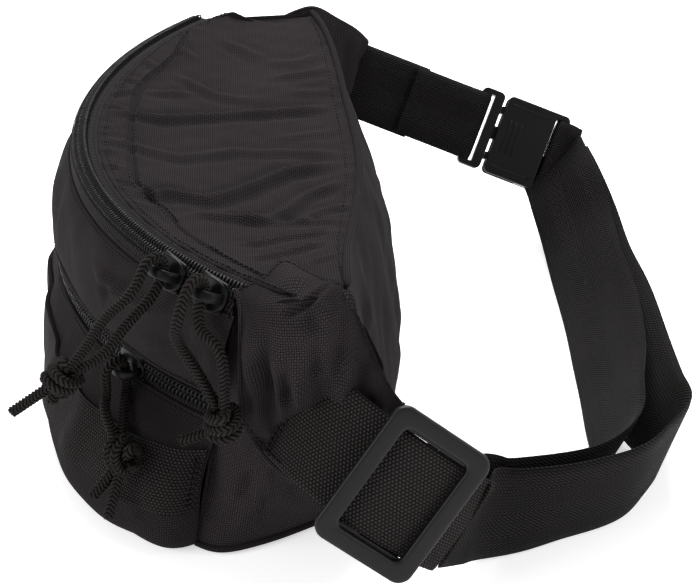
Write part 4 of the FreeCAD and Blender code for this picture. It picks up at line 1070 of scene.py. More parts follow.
m_, w_, o_ = band_mid(bs)
tt = np.linspace(-1, 1, 15)
G = np.stack([m_ + w_ * (12.5 * t) + o_ * (0.35 * (1 - t * t) + 0.35 * np.sin(bs * 61))[:, None] for t in tt], 1)
sgn_pk = 1.0 if (N_pk[:, 20] * o_[::1][:1]).sum() > 0 else -1.0
G = push_out(G, G_pk, N_pk, 2.0)
for _ in range(6):
    G[1:-1] = 0.25 * G[:-2] + 0.5 * G[1:-1] + 0.25 * G[2:]
uv = np.stack(np.meshgrid(np.concatenate([[0], np.cumsum(np.linalg.norm(np.diff(m_, axis=0), axis=1))]) / 1000, tt * 0.0125, indexing="ij"), -1).reshape(-1, 2)
band = skin("lash_band", G, mat_band, 1.5, flip=True, body="pack", uv=uv)
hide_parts("front_webbing_band")
b = Bag()
for s0 in (0.012, 0.965):
    m0, w0, o0 = band_mid(np.array([s0, s0 + 0.008]))
    t0 = unit(m0[1] - m0[0])
    for dx in (0, 1.6):
        ln = np.array([m0[0] + w0[0] * y + o0[0] * 0.55 + t0 * dx for y in np.linspace(-11, 11, 12)])
        stitch(b, ln, o0[0], 1.7, 0.4, 0.42, 0.15)
b.make("band_bar_tacks", mat_thread, "pack", "ribbed_webbing")

# lining inside the pocket mouth, seen when a zip is open: follows the CAD divider
ds = np.linspace(0.06, 0.94, 90)
dsin = np.sin(math.pi * ds)
dt = arc("pocket", pock_deg(ds), -14.0 - 10 * dsin, 3.0 + 0 * ds)
db, df = belly_s(ds), foot_s(ds)
inb = unit(np.stack([-db[:, 0], -10 - db[:, 1], 0 * ds], 1))
inf = unit(np.stack([-df[:, 0], -10 - df[:, 1], 0 * ds], 1))
G = np.moveaxis(cubic([0, .6, 1], np.stack([dt, db + inb * (7 + 13 * dsin)[:, None], df + inf * (7 + 11 * dsin)[:, None]]), np.linspace(0, 1, 30)), 0, 1)
ND = grid_normals(G)
G = G + ND * (rnd_wave(G, 30, 0.9, 31) * np.sin(math.pi * np.linspace(0, 1, 30))[None])[..., None]
div = skin("divider_cloth", G, mat_lining, 0.7, body="pack")
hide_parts("divider_lining")

# ------------------------------------------------------------------ near wing, wrapped over the corner, with its folds
WC = [
    [(138.4, -44, 116.4), (142.6, -43, 112.4), (142, -44, 90), (141, -44, 62)],
    [(124, -32, 115.2), (145.4, -35, 112.4), (147, -34, 80), (145.6, -34, 46)],
    [(112, -26, 114.2), (147.6, -22, 114), (149.5, -21, 75), (146.5, -22, 36)],
    [(126, -18, 115.4), (149, -13, 116), (150, -14, 75), (147, -15, 33)],
    [(145.6, -7.8, 118.0), (150.6, -5, 113.4), (150.5, -4, 75), (147.6, -6, 34)],
    [(151, -2, 110), (152.5, 0, 98), (151, 0, 68), (149, 0, 38)],
    [(153.5, 8, 85), (153.6, 9, 78), (152, 8, 60), (150.5, 8, 42)],
    [(154.6, 14, 76), (154, 14, 70), (153.5, 13.5, 58), (152.5, 13, 46)],
]
WINGW = [
    ([(142.1, -7, 117.6), (145, -14.9, 116), (149.2, -23.7, 113.1), (148.7, -26.5, 110.2), (148.5, -27.8, 105.4)], 1.3, -0.8, .02),
    ([(148.1, -30.7, 108.2), (147.8, -31.6, 100.4), (147, -34.2, 91.4), (146.7, -34.6, 80.7), (146.6, -34.5, 60.8)], 2.4, -2.4, .2),
    ([(149.2, -23.2, 107.3), (149, -22, 95.7), (148.5, -23.6, 73.4)], 3.2, 2.6, .3),
    ([(148.5, -27.4, 102.6), (148.2, -27.6, 90.5), (148.1, -27.1, 70.8)], 2.0, -2.2, .25),
    ([(149.8, -17.3, 109.4), (149.5, -16.9, 88.2)], 2.2, -2.0, .25),
    ([(150.1, -13.1, 116.9), (149.8, -13.9, 100.7), (149.6, -12.9, 81.9)], 2.6, 2.2, .2),
    ([(150, -39, 112), (146, -40, 95), (144, -40, 74)], 2.6, 1.8, .25),
    ([(152, -3, 100), (150, -8, 80), (148, -12, 55)], 3.0, 1.9, .25), ([(152, 4, 84), (150.5, -2, 62), (149, -6, 46)], 2.2, -1.5, .25),
    ([(147, -30, 66), (148, -20, 56), (150, -6, 52), (151, 6, 56)], 3.2, 1.5, .2),
    ([(141, -40, 60), (145, -34, 52), (147, -24, 42)], 2.6, -1.3, .3),
]


def surf_from(rows, qn, qm):
    """Smooth grid through rows of points: rows run along the first way, points along the second."""
    rows = np.asarray(rows, float)
    k = np.linspace(0, 1, rows.shape[0])
    j = np.linspace(0, 1, rows.shape[1])
    Gm = cubic(j, np.moveaxis(rows, 1, 0), np.linspace(0, 1, qm))
    Gm = np.moveaxis(Gm, 0, 1)
    return cubic(k, Gm, np.linspace(0, 1, qn))


def mono_surf(rows, qn, qm):
    """As surf_from, with knots at the mean chord lengths."""
    rows = np.asarray(rows, float)
    dv = np.linalg.norm(np.diff(rows, axis=1), axis=2).mean(0)
    du = np.linalg.norm(np.diff(rows, axis=0), axis=2).mean(1)
    j = np.concatenate([[0], np.cumsum(dv ** 0.75)])
    k = np.concatenate([[0], np.cumsum(du ** 0.75)])
    Gm = np.moveaxis(cubic(j, np.moveaxis(rows, 1, 0), np.linspace(0, j[-1], qm)), 0, 1)
    return cubic(k, Gm, np.linspace(0, k[-1], qn))


G = mono_surf(WC, 130, 150)
Nw = grid_normals(G)
if Nw[:, 75, 0].mean() < 0:
    Nw = -Nw
h = 1.7 * ridges(G, WINGW) + rnd_wave(G, 30, 0.9, 41) + rnd_wave(G, 12, 0.35, 42)
ii = np.linspace(0, 1, 130)[:, None]
jj = np.linspace(0, 1, 150)[None, :]
fade = np.clip(np.minimum(np.minimum(ii, 1 - ii), np.minimum(jj, 1 - jj)) / 0.04, 0, 1)
G = G + Nw * (h * (0.25 + 0.75 * fade))[..., None]
G_wn = G
flip_w = grid_normals(G)[:, 75, 0].mean() < 0
wing_n = skin("wing_skin_near", G, mat_wing, 1.3, flip=flip_w, body="pack")
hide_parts("wing_near")

b = Bag()
Nn = grid_normals(G) * (-1 if flip_w else 1)
for line, nn in ((G[:, -1], Nn[:, -1]), (G[0], Nn[0])):
    b.tube(line + nn * -0.5, 1.1, 8, up=A3(1, 0, 0))
b.make("wing_hem_near", mat_wing, "pack", "pack_fabric")
b = Bag()
stitch(b, G[:, -7], Nn[:, -7], 2.0, 0.9, 0.26, 0.05)
stitch(b, G[:, 4], Nn[:, 4], 2.0, 0.9, 0.26, 0.05)
stitch(b, G[-5, 20:], Nn[-5, 20:], 2.0, 0.9, 0.26, 0.05)
b.make("wing_stitch_near", mat_thread, "pack", "pack_fabric")

FW = [((-146, -42, 64), (-147.5, -42, 113)), ((-149, -30, 50), (-150, -30, 114)), ((-150.5, -15, 40), (-151.5, -15, 118)), ((-149, -4, 38), (-152, -1, 122)),
      ((-147, 5, 42), (-159, 11, 114)), ((-148, 12, 52), (-163, 22, 106)), ((-152.5, 18, 61), (-168, 30, 97))]
rows = [[A3(*b_), (A3(*a_) + A3(*b_)) / 2 + A3(-1.5, 0, 0), A3(*a_)] for a_, b_ in FW]
G = mono_surf(rows, 90, 70)
Nf = grid_normals(G)
if Nf[:, 35, 0].mean() > 0:
    Nf = -Nf
h = rnd_wave(G, 34, 1.1, 51) + rnd_wave(G, 14, 0.4, 52) + ridges(G, [([(-150, -34, 110), (-150, -32, 86), (-149, -30, 60)], 3, 1.8, .2), ([(-151, -18, 114), (-152, -12, 90), (-151, -8, 60)], 3.4, 1.8, .2),
                                                                      ([(-160, 12, 108), (-157, 10, 88), (-151, 8, 60)], 3, -1.6, .2), ([(-150, -24, 110), (-150, -22, 70)], 2.2, -1.6, .2)])
G = G + Nf * (h * np.clip(np.minimum(np.minimum(np.linspace(0, 1, 90)[:, None], 1 - np.linspace(0, 1, 90)[:, None]), np.minimum(np.linspace(0, 1, 70)[None], 1 - np.linspace(0, 1, 70)[None])) / .06, .2, 1))[..., None]
flip_f = grid_normals(G)[:, 35, 0].mean() > 0
wing_f = skin("wing_skin_far", G, mat_wing, 1.5, flip=flip_f, body="pack")
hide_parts("wing_far")
b = Bag()
Nn = grid_normals(G) * (-1 if flip_f else 1)
for line in (G[:, 0], G[:, -1], G[0], G[-1]):
    b.tube(line, 1.1, 8, up=A3(1, 0, 0))
b.make("wing_hem_far", mat_wing, "pack", "pack_fabric")
b = Bag()
for j in (4, -5):
    stitch(b, G[:, j], Nn[:, j], 2.0, 0.9, 0.26, 0.05)
b.make("wing_stitch_far", mat_thread, "pack", "pack_fabric")

# ------------------------------------------------------------------ straps
BW = 40.0


def strap(name, lo, hi, thick, mat, body, node, width=BW, n=200, wave=0.0, seed=1, crown=0.25, m=13):
    """A flat strap through rows of edge points, with rounded selvages and woven thickness."""
    lo, hi = np.asarray(lo, float), np.asarray(hi, float)
    mid = (lo + hi) / 2
    t = chord_t(mid)
    q = np.linspace(0, t[-1], n)
    L1, H1 = cubic(t, lo, q), cubic(t, hi, q)
    Mi = (L1 + H1) / 2
    W = unit(H1 - L1)
    T = unit(np.gradient(Mi, axis=0))
    W = unit(W - T * (W * T).sum(1)[:, None])
    Nn_ = np.cross(T, W)
    ks = np.linspace(-1, 1, m)
    prof = []
    for k in ks:
        e = np.sqrt(max(0.0, 1 - max(0, (abs(k) - 0.94) / 0.06) ** 2))
        prof.append((k * width / 2, thick / 2 * (0.35 + 0.65 * e) + crown * 0.2 * (1 - k * k)))
    top = [Mi + W * w + Nn_ * z for w, z in prof]
    bot = [Mi + W * w - Nn_ * z for w, z in prof[::-1]]
    Gs = np.stack(top + bot, 1)
    if wave:
        Gs = Gs + Nn_[:, None, :] * (rnd_wave(Mi, 45, wave, seed))[:, None, None]
    k2 = Gs.shape[1]
    F = grid_faces(n, k2, 0, False, loop_m=True)
    F.append(tuple(range(k2))[::-1])
    F.append(tuple(range((n - 1) * k2, n * k2)))
    Ls = np.concatenate([[0], np.cumsum(np.linalg.norm(np.diff(Mi, axis=0), axis=1))]) / 1000
    vs = np.array([p[0] for p in prof] + [p[0] for p in prof[::-1]]) / 1000
    uv = np.stack(np.meshgrid(Ls, vs, indexing="ij"), -1).reshape(-1, 2)
    V1 = Gs.reshape(-1, 3)
    # make the outside face outwards
    a, b_, c_ = V1[F[0][0]], V1[F[0][1]], V1[F[0][2]]
    o = obj_from(name, M(V1), F, mat, uv)
    bm_fix(o)
    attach(o, body)
    if node:
        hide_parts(node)
    return o, Mi, W, Nn_


import bmesh


def bm_fix(o):
    bm = bmesh.new()
    bm.from_mesh(o.data)
    bmesh.ops.recalc_face_normals(bm, faces=bm.faces)
    bm.to_mesh(o.data)
    bm.free()


GL_C = A3(174, 11, 51.4)
GL_L = unit(A3(0.26, -0.60, -0.75))
GL_T = A3(0.12, 0.82, -0.55)
GL_T = unit(GL_T - GL_L * (GL_T @ GL_L))
GL_N = np.cross(GL_L, GL_T)
GL_R = 49.4
GL_O = GL_C - GL_N * GL_R


def on_arc(deg, lift=0.0):
    a = math.radians(deg)
    return GL_O + (GL_N * math.cos(a) + GL_T * math.sin(a)) * (GL_R + lift)


def arc_rows(d0, d1, n, lift=0.0):
    w = GL_L * (BW / 2)
    return [(on_arc(d0 + (d1 - d0) * i / n, lift) + w, on_arc(d0 + (d1 - d0) * i / n, lift) - w) for i in range(n + 1)]


rows = arc_rows(-60, 38, 14)
for i, extra in ((0, 9.0), (1, 6.0), (2, 3.0)):
    rows[i] = (rows[i][0], on_arc(-60 + 98 * i / 14 - extra) - GL_L * (BW / 2))
lo, hi = np.array([r[0] for r in rows]), np.array([r[1] for r in rows])
# this strap keeps its slanted sewn end, so its rows are laid out directly
kk = np.linspace(0, 1, len(lo))
q = np.linspace(0, 1, 240)
L1, H1 = cubic(kk, lo, q), cubic(kk, hi, q)
W = H1 - L1
Mi = (L1 + H1) / 2
T = unit(np.gradient(Mi, axis=0))
Nn_ = unit(np.cross(T, unit(W)))
if (Nn_ @ GL_N).mean() < 0:
    Nn_ = -Nn_
ks = np.linspace(0, 1, 23)
wv = 0.35 * np.sin(q * 26)[:, None] * (np.exp(-((ks - 0.5) / 0.5) ** 2))[None, :]
top = np.stack([L1 + W * k + Nn_ * (0.95 if 0.02 < k < 0.98 else 0.45) for k in ks], 1) + Nn_[:, None, :] * wv[..., None] * 0.4
bot = np.stack([L1 + W * k - Nn_ * (0.85 if 0.02 < k < 0.98 else 0.4) for k in ks[::-1]], 1)
Gs = np.concatenate([top, bot], 1)
n2, k2 = Gs.shape[:2]
F = grid_faces(n2, k2, 0, False, loop_m=True) + [tuple(range(k2))[::-1], tuple(range((n2 - 1) * k2, n2 * k2))]
Ls = np.concatenate([[0], np.cumsum(np.linalg.norm(np.diff(Mi, axis=0), axis=1))]) / 1000
uv = np.stack(np.meshgrid(Ls, np.concatenate([ks, ks[::-1]]) * 0.040, indexing="ij"), -1).reshape(-1, 2)
ww = obj_from("wing_webbing", M(Gs.reshape(-1, 3)), F, mat_rib, uv)
bm_fix(ww)
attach(ww, "pack")
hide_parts("wing_webbing_near")
b = Bag()
for i in (4, 9):
    stitch(b, top[i], Nn_[i], 1.8, 0.5, 0.38, 0.1)
for j in (1, -2):
    stitch(b, top[4:34, j], Nn_[4:34], 2.4, 0.6, 0.4, 0.15)
b.make("webbing_stitch", mat_thread, "pack", "ribbed_webbing")

INNER = [((-128.5, 112.5, 27.5), (-142, 143, 54.5)), ((-118, 114.5, 24), (-128, 144.5, 50)), ((-105, 116, 19.5), (-113, 145.5, 45)), ((-88, 117.5, 13), (-94, 148.5, 34)),
         ((-60, 116.5, 5), (-63, 148, 28)), ((-31, 115, 1.6), (-34, 147.5, 25)), ((-7, 113, 1.2), (-9, 145.5, 25)), ((20, 110, 1.2), (22, 140, 28)), ((51, 107, 1.2), (56, 132, 32)),
         ((78, 104, 1.2), (86, 123, 36)), ((100, 101, 1.2), (107, 117, 38)), ((118, 93, 1), (122, 107, 39)), ((130, 83, 1), (133, 94, 39.5)), ((138, 70, .9), (139, 78, 40.2)),
         ((142, 57, .9), (141.5, 62, 40.6)), ((146.5, 46, 2.6), (143.5, 50, 42.4)), ((155, 34, 9), (147, 44, 47.2))]
OUTER = [((-131, 118, 20), (-144, 149, 45)), ((-118, 119.5, 17.5), (-128, 150, 43)), ((-105, 121, 13.5), (-113, 151.5, 39)), ((-88, 122.5, 7), (-93, 154.5, 30)),
         ((-60, 122, 1.2), (-63, 155.5, 22.5)), ((-31, 121.5, 1.0), (-34, 156, 21)), ((0, 119.5, 1.0), (1, 153.5, 22.5)), ((28, 117.5, 1.0), (31, 149.5, 25)), ((58, 117.5, 1.0), (62, 144.5, 30)),
         ((80, 121, 1.0), (86, 141, 35)), ((101, 126, .9), (105, 137, 39)), ((118, 117, .9), (122, 124, 40)), ((131, 105, .9), (136, 110, 40.4)), ((138, 91, .9), (142.5, 96, 40.6)),
         ((143, 76, .9), (147, 80, 40.8)), ((148, 62, .9), (148.5, 66, 40.8)), ((152.5, 49, 2.2), (150.5, 53, 42)), ((158.5, 39, 6.0), (154.5, 47, 45))]
a38 = arc_rows(38.6, 38.6, 1)[0]
OUTER.append((a38[0] * 0.5 + A3(158.5, 39, 6.0) * 0.5, a38[1] * 0.5 + A3(154.5, 47, 45) * 0.5))
OUTER.append((a38[0], a38[1]))
INNER.append(arc_rows(31, 31, 1, -9.0)[0])


def lohi(R):
    return np.array([np.asarray(r[0], float) for r in R]), np.array([np.asarray(r[1], float) for r in R])


lo, hi = lohi(INNER)
strap("belt_inner", lo, hi, 1.7, mat_belt, "pack", "belt_inner_strap", n=300)
lo, hi = lohi(OUTER)
strap("belt_outer", lo, hi, 1.7, mat_belt, "pack", "belt_outer_strap", n=320)
lo, hi = lohi(arc_rows(4.4, 24, 8, -4.6))
strap("belt_end", lo, hi, 1.7, mat_belt, "adjuster", "belt_end_loop", n=40)

BKX = unit(A3(0.211, 0.920, -0.331))
BKY = A3(-0.421, 0.391, 0.818)
BKY = unit(BKY - BKX * (BKY @ BKX))
BKZ = np.cross(BKX, BKY)
BKO = A3(-144.7, 84.7, 56.5)


def bk(x, y, z):
    return BKO + BKX * x + BKY * y + BKZ * z


def bk_rows(x0, x1, n, z):
    return [(bk(x0 + (x1 - x0) * i / n, -BW / 2, z), bk(x0 + (x1 - x0) * i / n, BW / 2, z)) for i in range(n + 1)]


lo, hi = lohi(bk_rows(-74, -31, 6, 0))
strap("far_strap_web", lo, hi, 1.7, mat_belt, "pack", "far_strap", n=60)
# the male half's strap: a loop round its bar
legs = [(-37, 2.55), (-20, 2.6), (-8, 2.8), (-3, 3.4), (0.5, 4.1), (3.2, 4.0), (5.0, 2.6), (5.4, 0), (5.0, -2.6), (3.2, -4.0), (0.5, -4.1), (-3, -3.4), (-8, -2.8), (-20, -2.6), (-37, -2.55)]
lo = np.array([bk(x, -18.8, z) for x, z in legs])
hi = np.array([bk(x, 18.8, z) for x, z in legs])
strap("male_strap", lo, hi, 1.7, mat_belt, "male_half", "male_strap_loop", width=37.6, n=90)

# ------------------------------------------------------------------ tri-glide
def gl(x, y, z):
    x, y, z = np.broadcast_arrays(np.asarray(x, float), np.asarray(y, float), np.asarray(z, float))
    return GL_C + x[..., None] * GL_L + y[..., None] * GL_T + z[..., None] * GL_N


def rrect(w, h, r, ks=14, kc=8):
    """Rounded rectangle, the same number of points on each side and corner."""
    out = []
    for cx, cy, a0 in ((w / 2 - r, h / 2 - r, 0), (-w / 2 + r, h / 2 - r, 90), (-w / 2 + r, -h / 2 + r, 180), (w / 2 - r, -h / 2 + r, 270)):
        for i in range(kc + 1):
            a = math.radians(a0 + 90 * i / kc)
            out.append((cx + r * math.cos(a), cy + r * math.sin(a)))
        nx = {0: (-w / 2 + r, h / 2), 90: (-w / 2, -h / 2 + r), 180: (w / 2 - r, -h / 2), 270: (w / 2, h / 2 - r)}[a0]
        lx, ly = out[-1]
        for i in range(1, ks):
            out.append((lx + (nx[0] - lx) * i / ks, ly + (nx[1] - ly) * i / ks))
    return np.array(out)


def ring_mesh(name, outer, inner, z0, z1, place, mat, body, p=4.6, k=26, dish=0.0):
    a = np.linspace(0, 2 * math.pi, k, endpoint=False) + 0.12
    cu = np.sign(np.cos(a)) * np.abs(np.cos(a)) ** (2 / p)
    sz = np.sign(np.sin(a)) * np.abs(np.sin(a)) ** (2 / p)
    u = 0.5 - 0.5 * cu
    z = (z0 + z1) / 2 + (z1 - z0) / 2 * sz - dish * (1 - cu ** 2) * (sz > 0)
    P = outer[:, None, :] * (1 - u)[None, :, None] + inner[:, None, :] * u[None, :, None]
    G = place(P[..., 0], P[..., 1], np.broadcast_to(z[None, :], P.shape[:2]))
    n, m = G.shape[:2]
    o = obj_from(name, M(G.reshape(-1, 3)), grid_faces(n, m, 0, False, loop_m=True, loop_n=True), mat)
    bm_fix(o)
    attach(o, body)
    return o


glide = ring_mesh("glide_frame", rrect(56.2, 41.2, 5.5), rrect(43, 27.5, 3.2), -0.4, 3.2, gl, mat_glide, "adjuster", dish=0.12)
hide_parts("tri_glide")
b = Bag()
xs = np.concatenate([[-25.4, -25.0, -24.0, -22.6], np.linspace(-21, 21, 15), [22.6, 24.0, 25.0, 25.4]])
zs = np.concatenate([[0.6, -1.2, -2.4, -2.8], np.full(15, -2.9), [-2.8, -2.4, -1.2, 0.6]])
b.tube(gl(xs, 0 * xs, zs), 2.45, 16, up=GL_N, squash=0.54)
b.make("glide_bar", mat_glide, "adjuster", "matte_plastic")
# the opening's deep end walls, which carry the bar
for nm, sg in (("low", 1), ("high", -1)):
    wall = ring_mesh("glide_wall_" + nm, rrect(4.6, 29.5, 1.4) + A3(sg * 22.45, 0, 0)[:2], rrect(0.6, 24.0, 0.25) + A3(sg * 22.45, 0, 0)[:2], -4.3, 0.6, gl, mat_glide, "adjuster", p=5)



# ------------------------------------------------------------------ buckle: CAD shapes with softened edges
def softened(node, name, mat, body, width=0.55, segs=3):
    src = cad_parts[node]
    me = src.data.copy()
    me.name = name
    me.materials.clear()
    me.materials.append(mat)
    o = bpy.data.objects.new(name, me)
    bpy.context.scene.collection.objects.link(o)
    bm = bmesh.new()
    bm.from_mesh(me)
    bmesh.ops.remove_doubles(bm, verts=bm.verts, dist=1e-6)
    bmesh.ops.dissolve_limit(bm, angle_limit=math.radians(1.0), verts=bm.verts, edges=bm.edges)
    bmesh.ops.recalc_face_normals(bm, faces=bm.faces)
    sharp = [e for e in bm.edges if len(e.link_faces) == 2 and e.calc_face_angle(0) > math.radians(35)]
    bmesh.ops.bevel(bm, geom=sharp, offset=width / 1000, segments=segs, profile=0.6, affect="EDGES", clamp_overlap=True)
    bmesh.ops.triangulate(bm, faces=[f for f in bm.faces if len(f.verts) > 4])
    bm.to_mesh(me)
    bm.free()
    me.polygons.foreach_set("use_smooth", [True] * len(me.polygons))
    o.data.set_sharp_from_angle(angle=math.radians(38))
    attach(o, body)
    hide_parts(node)
    MADE.append(o)
    return o


softened("buckle_female", "buckle_shell", mat_buckle, "pack", 0.9)
softened("buckle_male", "buckle_insert", mat_buckle, "male_half", 0.7)
softened("buckle_prong_upper", "buckle_arm_upper", mat_buckle, "prong_upper", 0.5)
softened("buckle_prong_lower", "buckle_arm_lower", mat_buckle, "prong_lower", 0.5)


def bkv(x, y, z):
    x, y, z = np.broadcast_arrays(np.asarray(x, float), np.asarray(y, float), np.asarray(z, float))
    return BKO + x[..., None] * BKX + y[..., None] * BKY + z[..., None] * BKZ


# raised ribs for the thumb on both faces of the shell, and a raised rim
b = Bag()
for sg in (1, -1):
    for x in (20.5, 23.5, 26.5):
        ys = np.linspace(-9, 9, 9)
        b.tube(bkv(x + 0 * ys, ys, sg * 5.5 + 0 * ys), 0.55, 8, up=BKZ)
    for y in (-17.5, 17.5):
        xs2 = np.linspace(18, 40, 9)
        b.tube(bkv(xs2, y + 0 * xs2, sg * 5.45 + 0 * xs2), 0.5, 8, up=BKZ)
b.make("buckle_ribs", mat_buckle, "pack", "buckle_plastic")


# the belt's loop round the shell's bar
lp = [(59, 2.2), (55, 4.8), (51.8, 6.7), (49.4, 7.1), (47.0, 6.6), (45.7, 4.6), (45.4, 0), (45.7, -4.6), (47.0, -6.6), (49.4, -7.1), (51.8, -6.7), (55, -4.8), (59, -2.2)]
strap("belt_buckle_loop", np.array([bk(x, -18.8, z) for x, z in lp]), np.array([bk(x, 18.8, z) for x, z in lp]), 1.7, mat_belt, "pack", None, width=37.6, n=90)

# ------------------------------------------------------------------ zip sliders
SLF = {
    "a": (A3(118.941, -66.06, 112.549), A3(0.7657, 0.6428, -0.0222), A3(-0.2897, 0.3756, 0.8803), A3(0.5742, -0.6677, 0.4738)),
    "b": (A3(134.371, -51.64, 112.102), A3(0.6931, 0.7206, -0.0201), A3(-0.3278, 0.3399, 0.8814), A3(0.642, -0.6044, 0.4719)),
    "c": (A3(92.967, -84.412, 60.163), A3(0.7747, 0.6293, -0.062), A3(0.0797, 0.0, 0.9968), A3(0.6273, -0.7771, -0.0502)),
}


def at_sl(k, x, y, z):
    p, et, ey, up = SLF[k]
    x, y, z = np.broadcast_arrays(np.asarray(x, float), np.asarray(y, float), np.asarray(z, float))
    return p + x[..., None] * et + y[..., None] * ey + z[..., None] * up


def slider_pieces(k, body, node):
    # top plate: a shield outline with a crowned, rounded rim
    ang = np.linspace(0, 2 * math.pi, 72, endpoint=False)
    px = 7.4 * np.sign(np.cos(ang)) * np.abs(np.cos(ang)) ** 0.75
    py = (6.1 - 0.9 * (px / 7.4)) * np.sign(np.sin(ang)) * np.abs(np.sin(ang)) ** 0.7
    rings = [(1.0, 1.75), (1.0, 2.5), (0.97, 2.85), (0.9, 3.05), (0.7, 3.15), (0.35, 3.2)]
    under = [(0.35, 1.6), (0.9, 1.6)]
    R_ = under + rings
    G_ = np.stack([at_sl(k, px * s, py * s, z + 0 * px) for s, z in R_], 0)
    V_ = np.concatenate([G_.reshape(-1, 3), at_sl(k, 0, 0, 1.6)[None], at_sl(k, 0, 0, 3.2)[None]])
    m = 72
    F_ = grid_faces(len(R_), m, 0, False, loop_m=True)
    nb = len(R_) * m
    F_ += [(nb, (j + 1) % m, j) for j in range(m)]
    F_ += [(nb + 1, (len(R_) - 1) * m + j, (len(R_) - 1) * m + (j + 1) % m) for j in range(m)]
    o = obj_from("slider_plate_" + k, M(V_), F_, mat_metal)
    bm_fix(o)
    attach(o, body)
    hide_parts(node)
    b = Bag()
    # arched bridge from the nose of the plate to its tail, flat like bent sheet metal
    t = np.linspace(0, 1, 41)
    xx = 6.0 * np.cos(math.pi * (1 - t))
    zz = 2.6 + 8.1 * np.abs(np.sin(math.pi * t)) ** 0.42
    b.tube(at_sl(k, xx, 0 * t, zz), 0.8, 16, up=SLF[k][2], squash=2.45 if k != "c" else 2.45)
    # turned-down flanges either side of the plate
    for sg in (1, -1):
        fx = np.linspace(-6.2, 6.2, 17)
        b.tube(at_sl(k, fx, sg * (5.6 - 0.9 * fx / 7.4), 1.7 + 0 * fx), 0.8, 10, up=SLF[k][3])
    # cap over the bridge's foot
    b.tube(at_sl(k, np.array([-6.9, -6.2, -5.2, -4.2]), 0 * np.arange(4), np.array([3.0, 3.5, 3.7, 3.3])), np.array([1.2, 1.9, 2.0, 1.2]), 12, up=SLF[k][3])
    b.make("slider_bridge_" + k, mat_metal, body, "slider_metal")


slider_pieces("a", "slider_main_a", "main_slider_a")
slider_pieces("b", "slider_main_b", "main_slider_b")
slider_pieces("c", "slider_pocket", "pocket_slider")

# ------------------------------------------------------------------ cords and knots
ROUTE_A = [(123.67, -105.97, 78.07), (124.2, -98.7, 87.6), (126.8, -92.1, 100.2), (130.45, -79.79, 111.97), (126.42, -74.57, 124.21), (120.91, -68.16, 119.66), (124.94, -73.38, 107.42),
           (124.2, -84.4, 95.8), (123.5, -93.9, 81.3), (123.43, -104.25, 76.02)]
ROUTE_B = [(146.98, -52.78, 72.74), (143.0, -58.3, 84.9), (141.6, -66.0, 98.5), (148.26, -65.09, 108.84), (142.71, -59.34, 123.73), (136.55, -53.54, 119.2), (142.09, -59.29, 104.31),
           (146.2, -50.2, 97.5), (148.5, -49.2, 84.0), (148.63, -49.96, 73.48)]
ROUTE_C = [(121.78, -92.32, 42.32), (109.4, -97.9, 48.9), (101.97, -96.46, 50.41), (103.08, -96.46, 64.27), (97.06, -89.0, 64.75), (95.95, -89.0, 50.9), (109.0, -90.8, 46.6), (121.11, -90.32, 41.88)]


def nurbs_points(name, pts, res=16):
    """Points along the order 3 NURBS spline of a route, in metres."""
    cu = bpy.data.curves.new(name + "_line", "CURVE")
    cu.dimensions = "3D"
    sp = cu.splines.new("NURBS")
    sp.points.add(len(pts) - 1)
    for q, p in zip(sp.points, pts):
        q.co = (*p, 1)
    sp.order_u = 3
    sp.use_endpoint_u = True
    sp.resolution_u = res
    ob = bpy.data.objects.new(name + "_line", cu)
    me = bpy.data.meshes.new_from_object(ob)
    out = np.array([v.co for v in me.vertices], float)
    bpy.data.meshes.remove(me)
    bpy.data.objects.remove(ob)
    bpy.data.curves.remove(cu)
    return out


def braid(bag, core, P, R0=1.68, pitch=1.6, phase=0.0, up=None, step=0.16, k=40, lean=1.15, relief=0.56):
    """A braided cord along a line P in design mm: four columns of strands that lean to and fro, so that each
    pair of neighbours meets in a row of chevrons."""
    L = np.concatenate([[0], np.cumsum(np.linalg.norm(np.diff(P, axis=0), axis=1))])
    n = max(8, int(L[-1] / step))
    q = np.linspace(0, L[-1], n)
    C = np.stack([np.interp(q, L, P[:, i]) for i in range(3)], 1)
    for _ in range(6):
        C[1:-1] = 0.25 * C[:-2] + 0.5 * C[1:-1] + 0.25 * C[2:]
    T, S, N = frames_along(C, up)
    a = np.linspace(0, 2 * math.pi, k, endpoint=False)
    colw = math.pi / 2
    col = np.floor(a / colw)
    w = (a - col * colw) / colw
    tri = np.where(col % 2 == 0, w, 1 - w)
    ph = q[:, None] / pitch + lean * tri[None, :] + 0.5 * (col % 2 == 1)[None, :] * 0 + phase
    ridge = (0.5 + 0.5 * np.cos(2 * math.pi * ph))
    ridge = np.clip(ridge, 0, 1) ** 0.62
    # each strand is fullest at the middle of its column and dives at the column's sides
    edge = np.sin(math.pi * w) ** 0.45
    r = R0 + relief * (ridge * (0.35 + 0.65 * edge)[None, :]) - 0.16 * (1 - edge)[None, :]
    dirs = np.cos(a)[None, :, None] * S[:, None, :] + np.sin(a)[None, :, None] * N[:, None, :]
    G_ = C[:, None, :] + dirs * r[..., None]
    F_ = grid_faces(n, k, 0, True, loop_m=True)
    F_.append(tuple(range(k)))
    F_.append(tuple(range((n - 1) * k, n * k))[::-1])
    uv = np.stack([ph * pitch / 1000, np.broadcast_to((w * 2.9 / 1000)[None, :], ph.shape)], -1)
    bag.add(G_.reshape(-1, 3), F_, uv)
    return C


